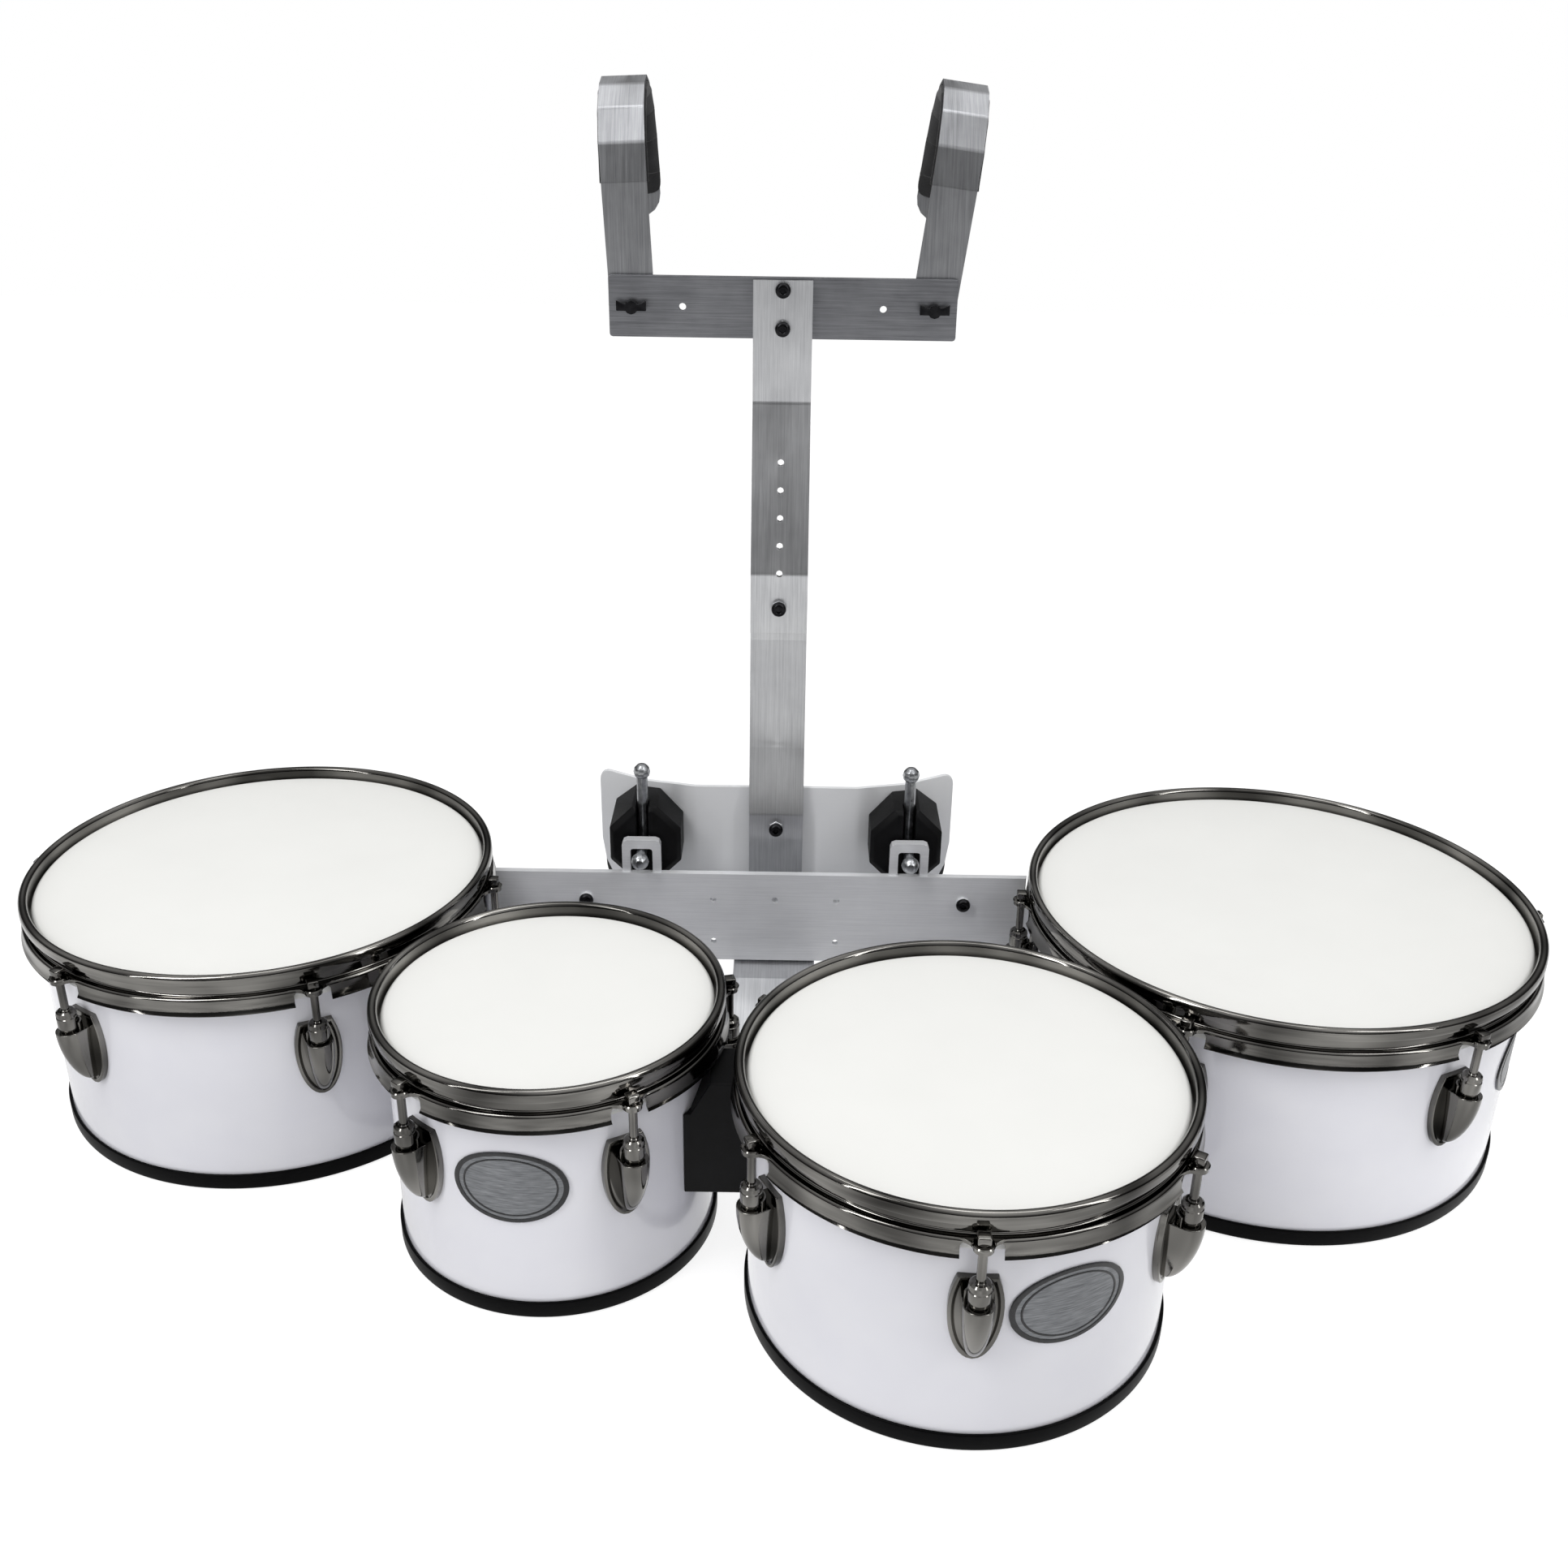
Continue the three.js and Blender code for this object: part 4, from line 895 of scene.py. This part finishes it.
def lug_base(sizes, face):
    """Flange with a raised rim round a sunken field."""
    outline = [(x, face - sizes.sunk, z) for x, z in lug_outline(sizes)]
    piece = plate("lug_base", outline, (0, sizes.flange + sizes.sunk, 0))
    take_up(piece)
    bpy.ops.object.mode_set(mode="EDIT")
    bpy.ops.mesh.select_mode(type="FACE")
    bpy.ops.mesh.select_all(action="DESELECT")
    mesh = bmesh.from_edit_mesh(piece.data)
    for f in mesh.faces:
        f.select_set(f.normal.y > 0.9)
    bmesh.update_edit_mesh(piece.data)
    bpy.ops.mesh.inset(thickness=sizes.rim, depth=0)
    bpy.ops.mesh.inset(thickness=RIM_SLOPE, depth=-sizes.sunk)
    bpy.ops.object.mode_set(mode="OBJECT")
    soften(piece, 0.7 * MM, segments=3, angle=25)
    even_shading(piece, 40)
    return piece


def lug_nose(sizes, face, rod_offset):
    """Bullet nose: a U-shaped section that grows from a round tip to a flat ledge."""
    radius = sizes.nose_radius
    arch = arc(0, rod_offset, radius, radius, 0, 180, 18)
    section = [(radius, -MM), *arch, (-radius, -MM)]
    bottom = sizes.foot + sizes.nose_foot
    ledge = sizes.foot + sizes.ledge
    share = NOSE_TIP_SHARE
    piece = trace("lug_nose", [(x * share, face + y * share, bottom) for x, y in section])
    close_line(piece)
    bpy.ops.mesh.select_all(action="SELECT")
    bpy.ops.mesh.edge_face_add()
    climbed = 0.0
    for i in range(1, NOSE_SECTIONS + 1):
        t = (i / NOSE_SECTIONS) ** NOSE_CROWDING
        swelling = math.sin(math.pi / 2 * t) ** NOSE_SWELL
        wanted = NOSE_TIP_SHARE + (1 - NOSE_TIP_SHARE) * swelling
        rise = (ledge - bottom) * (t - climbed)
        climbed = t
        bpy.ops.mesh.extrude_region_move(TRANSFORM_OT_translate={"value": (0, 0, rise)})
        bpy.ops.transform.resize(
            value=(wanted / share, wanted / share, 1),
            center_override=(0, face, bottom + (ledge - bottom) * t),
        )
        share = wanted
    tidy_skin()
    soften(piece, 0.8 * MM, segments=3, angle=60)
    even_shading(piece, 40)
    return piece


def lug_cheeks(sizes, rod_circle):
    """Half tube that stands on the ledge and holds the nut from behind."""
    outer = sizes.nose_radius - SEAT_GAP
    inner = sizes.nut_radius + 0.5 * MM
    seat = sizes.foot + sizes.ledge - SET_IN
    near = arc(0, rod_circle, outer, outer, 200, 340, 14)
    far = arc(0, rod_circle, inner, inner, 340, 200, 14)
    outline = [(x, y, seat) for x, y in near + far]
    piece = plate("lug_cheeks", outline, (0, 0, sizes.nut_height * 0.45))
    soften(piece, 0.4 * MM)
    even_shading(piece)
    return piece


def lug_hardware(drum, sizes, hoops, rod_circle):
    """Nut, rod, washer and square head on the rod's axis."""
    ledge = sizes.foot + sizes.ledge
    nut_top = ledge + sizes.nut_height
    step_top = box(f"{drum}_hoop")[1].z - hoops.step_depth
    rod = sizes.rod_radius
    nut = sizes.nut_radius
    outline = [
        (0, ledge - 0.4 * MM),
        (nut - 2 * MM, ledge - 0.4 * MM),
        (nut - 0.6 * MM, ledge + 0.8 * MM),
        (nut, ledge + 2.4 * MM),
        (nut, nut_top - 5 * MM),
        (nut - 0.5 * MM, nut_top - 4.6 * MM),
        (nut - 0.5 * MM, nut_top - 3.4 * MM),
        (nut, nut_top - 3 * MM),
        (nut - 0.4 * MM, nut_top - 1 * MM),
        (nut - 1.6 * MM, nut_top),
        (rod * 1.2, nut_top),
        (rod, nut_top + 0.6 * MM),
        (rod, step_top + SEAT_GAP),
        (rod * 2.3, step_top + SEAT_GAP),
        (rod * 2.35, step_top + 1.1 * MM),
        (rod * 2.1, step_top + 1.7 * MM),
        (rod * 1.25, step_top + 1.9 * MM),
        (rod * 1.25, step_top + 3 * MM),
        (0, step_top + 3 * MM),
    ]
    turned_part = turned("rod", outline, 32, closed=False)
    half = sizes.head_square / 2
    seat = step_top + 2.4 * MM
    square = [(-half, -half, seat), (half, -half, seat), (half, half, seat), (-half, half, seat)]
    head = plate("rod_head", square, (0, 0, sizes.head_height))
    soften(head, 0.9 * MM, segments=3)
    smooth(turned_part)
    smooth(head)
    piece = joined("lug_rod", [turned_part, head])
    return settle(piece, Matrix.Translation((0, rod_circle, 0)))


class TENOR_OT_lugs(bpy.types.Operator):
    """Model one lug with its tension rod for each drum size, and copy it round the shell"""

    bl_idname = "tenor.lugs"
    bl_label = "Lugs"

    def execute(self, context):
        sizes = context.scene.tenor_lug_sizes
        hoops = context.scene.tenor_hoop_sizes
        for drum in DRUMS:
            face = shell_radius(drum)
            rod_circle = (rod_place(lug_nodes(drum)[0]) - axis_of(drum)).length
            first = joined("lug", [
                lug_base(sizes, face),
                lug_nose(sizes, face, rod_circle - face),
                lug_cheeks(sizes, rod_circle),
                lug_hardware(drum, sizes, hoops, rod_circle),
            ])
            move = Matrix.Translation(axis_of(drum))
            for node in lug_nodes(drum):
                turn = Matrix.Rotation(facing(drum, rod_place(node)), 4, "Z")
                lug = settle(copied(first, f"{node}_casing"), move @ turn)
                hand_over(lug, node, MATERIALS["nickel"])
            bpy.data.objects.remove(first, do_unlink=True)
        return {"FINISHED"}


# Carrier

# Nodes of the carrier: finish, slot of the record, rounding of the edges, and smooth angle
CARRIER_FINISHES = {
    "rear_bar": ("bar_x", "aluminium", 0.5 * MM, 35),
    "crossbar": ("cross", "aluminium", 0.5 * MM, 35),
    "centre_arm": ("bar_y", "aluminium", 0.4 * MM, 35),
    "lower_upright": ("bar_z", "aluminium", 0.5 * MM, 35),
    "upper_upright": ("bar_z", "aluminium", 0.5 * MM, 35),
    "shoulder_hook_left": ("hook", "aluminium", 0.6 * MM, 35),
    "shoulder_hook_right": ("hook", "aluminium", 0.6 * MM, 35),
    "belly_plate": ("plate", "aluminium", 0.5 * MM, 8),
    "small_drum_block": ("nylon", "black_moulding", 1.2 * MM, 35),
    "hook_clamp_left": ("nylon", "black_moulding", 0.9 * MM, 35),
    "hook_clamp_right": ("nylon", "black_moulding", 0.9 * MM, 35),
    "hook_rod_left": ("steel", "steel", 0.3 * MM, 35),
    "hook_rod_right": ("steel", "steel", 0.3 * MM, 35),
    # The wing screws take the black screw finish as painted shade, for the shade they sit in.
    "wing_screw_left": ("screw", "steel", 0.5 * MM, 35),
    "wing_screw_right": ("screw", "steel", 0.5 * MM, 35),
}

# Screws that cover the bolt heads: node, and (x, z) from the carrier's middle
SCREWS = (
    ("upper_upright", 0, 552 * MM),
    ("upper_upright", 0, 527 * MM),
    ("lower_upright", 0, 341.6 * MM),
    ("lower_upright", 0, 175.5 * MM),
    ("rear_bar", -137.5 * MM, 133 * MM),
    ("rear_bar", 137.5 * MM, 133 * MM),
)


SCREW_LIFT = 0.1 * MM
SCREW_REACH = 6 * MM


def screw_piece(name, sizes):
    """Button head with a socket, its face towards -Y and its seat at the origin."""
    radius = sizes.screw_radius
    top = sizes.screw_height
    crown = top * 0.8
    socket = sizes.socket_radius
    outline = [
        (0, top / 2),
        (socket, top / 2),
        (socket, top - 0.2 * MM),
        (socket + 0.3 * MM, top),
        *arc(radius - crown, top - crown, crown, crown, 80, 0, 6),
        (radius, 0),
        (0, 0),
    ]
    piece = turned(name, outline, 32, closed=False)
    smooth(piece)
    return settle(piece, Matrix.Rotation(math.pi / 2, 4, "X"))


def front_of(node, x, z, reach):
    """Foremost point of a node near (x, z)."""
    points = [v.co for v in frame["nodes"][node].data.vertices]
    near = [p.y for p in points if math.hypot(p.x - x, p.z - z) < reach]
    return min(near)


class TENOR_OT_carrier(bpy.types.Operator):
    """Round the edges of the bars, plate, brackets and rods, and set the screws on them"""

    bl_idname = "tenor.carrier"
    bl_label = "Carrier"

    def execute(self, context):
        sizes = context.scene.tenor_carrier_sizes
        for node, (material, slot, round_over, angle) in CARRIER_FINISHES.items():
            bend = sizes.hook_bend if "shoulder_hook" in node else 0
            hand_over(skin_of(node, round_over, angle, bend), node, MATERIALS[material])
        first = screw_piece("screw", sizes)
        for node, side, z in SCREWS:
            x = middle("upper_upright").x + side
            seat = (x, front_of(node, x, z, SCREW_REACH) - SCREW_LIFT, z)
            screw = settle(copied(first, f"{node}_screw"), Matrix.Translation(seat))
            ride_with(screw, node, MATERIALS["screw"])
        bpy.data.objects.remove(first, do_unlink=True)
        return {"FINISHED"}


# Badges

# Points round an oval, rings of its field, how far out it starts, and half a line's share
OVAL_POINTS = 96
OVAL_RINGS = 12
OVAL_START = 1.5 * MM
HALF_LINE = 0.02


def oval(name, sizes, shares, fill):
    """Flat oval that faces +Y: a smaller one, with its edge drawn out to each share of its size."""
    look_at_none()
    bpy.ops.mesh.primitive_circle_add(
        vertices=OVAL_POINTS,
        radius=shares[0],
        fill_type=fill,
        rotation=(-math.pi / 2, 0, 0),
    )
    piece = bpy.context.object
    piece.name = name
    bpy.ops.object.mode_set(mode="EDIT")
    bpy.ops.mesh.select_mode(type="EDGE")
    bpy.ops.mesh.select_all(action="SELECT")
    for before, after in zip(shares, shares[1:]):
        bpy.ops.mesh.extrude_edges_move(TRANSFORM_OT_translate={"value": (0, 0, 0)})
        bpy.ops.transform.resize(value=(after / before,) * 3, center_override=(0, 0, 0))
    bpy.ops.mesh.select_all(action="SELECT")
    bpy.ops.mesh.normals_make_consistent(inside=False)
    bpy.ops.object.mode_set(mode="OBJECT")
    settle(piece, Matrix.Diagonal((sizes.width / 2, 1, sizes.height / 2, 1)))
    if sum(face.normal.y for face in piece.data.polygons) < 0:
        piece.data.flip_normals()
    return piece


def wrapped(piece, shell, rise):
    """Lays a flat piece on a shell and thickens it inwards."""
    finish(
        piece,
        "SHRINKWRAP",
        target=shell,
        wrap_method="NEAREST_SURFACEPOINT",
        wrap_mode="ABOVE_SURFACE",
        offset=rise,
    )
    finish(piece, "SOLIDIFY", thickness=rise - SEAT_GAP, offset=-1)
    soften(piece, 0.2 * MM)
    smooth(piece)
    return piece


class TENOR_OT_badges(bpy.types.Operator):
    """Model the bare oval badges: a brushed field, an outer frame and an inner line"""

    bl_idname = "tenor.badges"
    bl_label = "Badges"

    def execute(self, context):
        sizes = context.scene.tenor_badge_sizes
        for drum in DRUMS:
            node = f"{drum}_badge"
            if node not in frame["nodes"]:
                continue
            shell = bpy.data.objects[f"{drum}_shell_skin"]
            place = middle(node)
            turn = Matrix.Rotation(facing(drum, place), 4, "Z")
            out = Matrix.Translation((0, shell_radius(drum) + OVAL_START, place.z))
            seat = Matrix.Translation(axis_of(drum)) @ turn @ out
            rings = [i / OVAL_RINGS for i in range(1, OVAL_RINGS + 1)]
            field = oval(f"{node}_field", sizes, rings, "NGON")
            field = wrapped(settle(field, seat), shell, sizes.field_rise)
            hand_over(field, node, MATERIALS["badge"])
            frame_line = [1 - sizes.frame_share * i / 3 for i in (3, 2, 1, 0)]
            inner_line = [sizes.line_share + HALF_LINE * i for i in (-1, 0, 1)]
            for kind, shares in (("frame", frame_line), ("line", inner_line)):
                ring = settle(oval(f"{node}_{kind}", sizes, shares, "NOTHING"), seat)
                ring = wrapped(ring, shell, sizes.line_rise)
                ride_with(ring, node, MATERIALS["enamel"])
        return {"FINISHED"}


# Pads

# Swelling of the pads: pressure, frames that it runs for, and how far a point may move
PAD_PRESSURE = 4
PAD_FRAMES = 20
PAD_REACH = 1.0 * MM


def swell(piece):
    """Swells a pad by cloth pressure, and caps how far its points move."""
    rest = [vertex.co.copy() for vertex in piece.data.vertices]
    take_up(piece)
    cloth = piece.modifiers.new("Cloth", "CLOTH")
    cloth.settings.use_pressure = True
    cloth.settings.uniform_pressure_force = PAD_PRESSURE
    cloth.settings.effector_weights.gravity = 0
    cloth.point_cache.frame_start = 1
    cloth.point_cache.frame_end = PAD_FRAMES
    for step in range(1, PAD_FRAMES + 1):
        bpy.context.scene.frame_set(step)
    bpy.ops.object.modifier_apply(modifier=cloth.name)
    bpy.context.scene.frame_set(1)
    for vertex, start in zip(piece.data.vertices, rest):
        move = vertex.co - start
        if move.length > PAD_REACH:
            vertex.co = start + move.normalized() * PAD_REACH


def pad_from(node):
    """A rounded and swollen copy of a soft node, with its cover drawn smooth."""
    piece = loose_copy(node, f"{node}_foam")
    tidy_skin()
    bpy.ops.object.mode_set(mode="EDIT")
    bpy.ops.mesh.tris_convert_to_quads(
        face_threshold=math.radians(60), shape_threshold=math.radians(80)
    )
    tidy_skin()
    finish(piece, "SUBSURF", levels=2, render_levels=2)
    swell(piece)
    finish(piece, "SMOOTH", factor=0.5, iterations=2)
    finish(piece, "SUBSURF", levels=1, render_levels=1)
    take_up(piece)
    bpy.ops.object.shade_smooth()
    return piece


class TENOR_OT_pads(bpy.types.Operator):
    """Swell the belly pad and the two shoulder pads"""

    bl_idname = "tenor.pads"
    bl_label = "Pads"

    def execute(self, context):
        for node in ("belly_pad", "shoulder_pad_left", "shoulder_pad_right"):
            piece = pad_from(node)
            hand_over(piece, node, MATERIALS["foam"])
        return {"FINISHED"}


# Studio

# Brightness of the mirrored room against height, from straight down (0) to straight up (1)
ROOM = (
    (0.0, 0.4), (0.45, 0.4), (0.5, 0.06), (0.66, 0.07), (0.76, 0.35), (0.9, 0.6), (1.0, 0.9)
)
WHITE = (1, 1, 1, 1)

# Patches of the room and of the floor, in metres, and the least and greatest of their light
ROOM_PATCH = 0.55
ROOM_LIGHT = (0.1, 1.9)
FLOOR_PATCH = 0.35
FLOOR_LIGHT = (0.1, 1.7)

FLOOR_SIZE = 8
FLOOR_DROP = 0.5 * MM

# Part of the floor's white that only its light gives, and the grey paint that shows it
FLOOR_SHADOW = 0.16
SHADOW_PAINT = (0.35, 0.35, 0.35, 1)

# Lamps: name, place, what it looks at, width and height in metres, and its power's property
LAMPS = (
    ("key", (-1.1, -1.0, 1.9), (0, 0, 0.15), (0.4, 1.3), "key_light"),
    ("fill", (1.4, -0.8, 1.7), (0, 0, 0.15), (0.35, 1.2), "fill_light"),
    ("top", (0, 0.1, 2.1), (0, 0, 0), (1.6, 0.4), "top_light"),
    ("left_strip", (-1.7, -1.4, 1.0), (0, 0, 0.15), (0.07, 1.4), "strip_light"),
    ("right_strip", (1.8, -1.3, 1.0), (0, 0, 0.15), (0.07, 1.4), "strip_light"),
)


def area_light(name, place, target, size, power):
    """A soft white lamp that looks at a point."""
    light = bpy.data.lights.new(name, "AREA")
    light.shape = "RECTANGLE"
    light.size, light.size_y = size
    light.energy = power
    holder = bpy.data.objects.new(name, light)
    bpy.context.collection.objects.link(holder)
    holder.location = place
    holder.rotation_euler = (Vector(target) - Vector(place)).to_track_quat("-Z", "Y").to_euler()


def chosen(tree, rays, yes, no):
    """Shader that is one thing to rays of a kind, and another to all the others."""
    return add(tree, "MixShader", {0: add(tree, "LightPath", output=rays), 1: no, 2: yes})


def room_ramp(tree):
    """Brightness of the room by height: dark low walls, a soft middle and a bright ceiling."""
    direction = add(tree, "TexCoord", output="Generated")
    height = add(tree, "SeparateXYZ", {"Vector": direction}, output="Z")
    level = add(tree, "MapRange", {"Value": height, "From Min": -1.0, "From Max": 1.0})
    stops = tuple((position, (grey, grey, grey, 1)) for position, grey in ROOM)
    room = add(tree, "ValToRGB", {"Fac": level}, stops=stops)
    upright = add(tree, "Mapping", {"Vector": direction, "Scale": (1, 1, 0.25)})
    corners = add(tree, "TexNoise", {
        "Vector": upright, "Scale": 1 / ROOM_PATCH, "Detail": 1.0, "Roughness": 0.55,
    })
    least, greatest = ROOM_LIGHT
    uneven = add(tree, "MapRange", {"Value": corners, "To Min": least, "To Max": greatest})
    return add(tree, "VectorMath", {"Vector": room, "Scale": uneven}, operation="SCALE")


def studio_world(studio):
    """White to the camera, soft grey light on matt faces, and a dark-walled room in mirrors."""
    world = bpy.data.worlds.new("studio")
    bpy.context.scene.world = world
    world.use_nodes = True
    tree = world.node_tree
    tree.nodes.clear()
    mirrored = add(
        tree, "Background", {"Color": room_ramp(tree), "Strength": studio.room_light}
    )
    soft = add(tree, "Background", {"Color": WHITE, "Strength": studio.soft_light})
    seen = add(tree, "Background", {"Color": WHITE, "Strength": 1.0})
    lit = chosen(tree, "Is Glossy Ray", mirrored, soft)
    add(tree, "OutputWorld", {"Surface": chosen(tree, "Is Camera Ray", seen, lit)})


def floor_piece(studio):
    """Plain floor: white with the object's shadow to the camera, glowing patches to polished faces
    that paint the lit floor they mirror, and grey paint to all else.
    """
    look_at_none()
    bpy.ops.mesh.primitive_grid_add(
        x_subdivisions=8, y_subdivisions=8, size=FLOOR_SIZE, location=(0, 0, -FLOOR_DROP)
    )
    floor = bpy.context.object
    floor.name = "studio_floor"
    settle(floor, Matrix.Identity(4))
    material = bpy.data.materials.new("studio_floor_paint")
    material.use_nodes = True
    tree = material.node_tree
    patches = add(tree, "TexNoise", {
        "Vector": add(tree, "TexCoord", output="Object"),
        "Scale": 1 / FLOOR_PATCH,
        "Detail": 2.0,
        "Roughness": 0.55,
    })
    worn = ((0.35, linear(0xB0B0B4)), (0.65, linear(0xEEEEF0)))
    paint = tree.nodes["Principled BSDF"]
    fill(tree, paint, {
        "Base Color": add(tree, "ValToRGB", {"Fac": patches}, stops=worn),
        "Roughness": 0.8,
    })
    # To polished faces the floor glows in patches: painted light standing in for the lit floor.
    least, greatest = FLOOR_LIGHT
    greatest *= studio.floor_in_mirrors
    glow = add(tree, "MapRange", {"Value": patches, "To Min": least, "To Max": greatest})
    mirrored = add(tree, "Emission", {"Strength": glow})
    white = add(tree, "Emission", {"Color": WHITE, "Strength": 1.0 - FLOOR_SHADOW})
    pale = add(tree, "BsdfDiffuse", {"Color": SHADOW_PAINT})
    seen = add(tree, "AddShader", {0: white, 1: pale})
    lit = chosen(tree, "Is Glossy Ray", mirrored, paint.outputs[0])
    fill(tree, tree.nodes["Material Output"], {
        "Surface": chosen(tree, "Is Camera Ray", seen, lit),
    })
    floor.data.materials.append(material)


def camera_in_place(studio):
    """Camera at the viewing angle of the photograph."""
    lens = bpy.data.cameras.new("camera")
    camera = bpy.data.objects.new("camera", lens)
    bpy.context.collection.objects.link(camera)
    lens.sensor_width = 36
    lens.lens = studio.focal_share * lens.sensor_width
    lens.clip_end = 20
    side = middle("upper_upright").x + studio.camera_side
    back = axis_of("drum_12").y - studio.camera_back
    look = Matrix.Rotation(math.pi / 2 - studio.camera_pitch, 4, "X")
    roll = Matrix.Rotation(studio.camera_roll, 4, "Z")
    camera.matrix_world = Matrix.Translation((side, back, studio.camera_height)) @ look @ roll
    bpy.context.scene.camera = camera


class TENOR_OT_stage(bpy.types.Operator):
    """Set the camera, the soft lights, the pale room and the floor"""

    bl_idname = "tenor.stage"
    bl_label = "Stage"

    def execute(self, context):
        studio = context.scene.tenor_studio
        camera_in_place(studio)
        studio_world(studio)
        floor_piece(studio)
        for name, place, target, size, power in LAMPS:
            area_light(name, place, target, size, getattr(studio, power))
        context.scene.view_settings.view_transform = "Standard"
        return {"FINISHED"}


class TENOR_OT_finishes(bpy.types.Operator):
    """Make the finishes from the chosen colours"""

    bl_idname = "tenor.finishes"
    bl_label = "Finishes"

    def execute(self, context):
        make_materials(context.scene.tenor_colours)
        return {"FINISHED"}


class TENOR_PT_panel(bpy.types.Panel):
    """Lists the sizes, the colours and the steps of the build"""

    bl_idname = "TENOR_PT_panel"
    bl_label = "Tenor Drums"
    bl_space_type = "VIEW_3D"
    bl_region_type = "UI"
    bl_category = "Tenor Drums"

    def draw(self, context):
        layout = self.layout
        for operator in OPERATORS:
            layout.operator(operator.bl_idname)
        for group in PROPERTY_GROUPS:
            column = layout.column(align=True)
            column.label(text=group.bl_rna.description or group.__doc__)
            settings = getattr(context.scene, PROPERTY_GROUPS[group])
            for key in group.__annotations__:
                column.prop(settings, key)


PROPERTY_GROUPS = {
    TENOR_PG_drum_sizes: "tenor_drum_sizes",
    TENOR_PG_hoop_sizes: "tenor_hoop_sizes",
    TENOR_PG_lug_sizes: "tenor_lug_sizes",
    TENOR_PG_carrier_sizes: "tenor_carrier_sizes",
    TENOR_PG_badge_sizes: "tenor_badge_sizes",
    TENOR_PG_colours: "tenor_colours",
    TENOR_PG_studio: "tenor_studio",
}
OPERATORS = (
    TENOR_OT_stage,
    TENOR_OT_finishes,
    TENOR_OT_drums,
    TENOR_OT_lugs,
    TENOR_OT_badges,
    TENOR_OT_carrier,
    TENOR_OT_pads,
)


def register():
    for cls in (*PROPERTY_GROUPS, *OPERATORS, TENOR_PT_panel):
        bpy.utils.register_class(cls)
    for group, name in PROPERTY_GROUPS.items():
        setattr(bpy.types.Scene, name, PointerProperty(type=group))


def unregister():
    for name in PROPERTY_GROUPS.values():
        delattr(bpy.types.Scene, name)
    for cls in (TENOR_PT_panel, *reversed(OPERATORS), *reversed(tuple(PROPERTY_GROUPS))):
        bpy.utils.unregister_class(cls)


def main():
    register()
    bpy.ops.tenor.stage()
    bpy.ops.tenor.finishes()
    bpy.ops.tenor.drums()
    bpy.ops.tenor.lugs()
    bpy.ops.tenor.badges()
    bpy.ops.tenor.carrier()
    bpy.ops.tenor.pads()


if __name__ == "__main__":
    main()
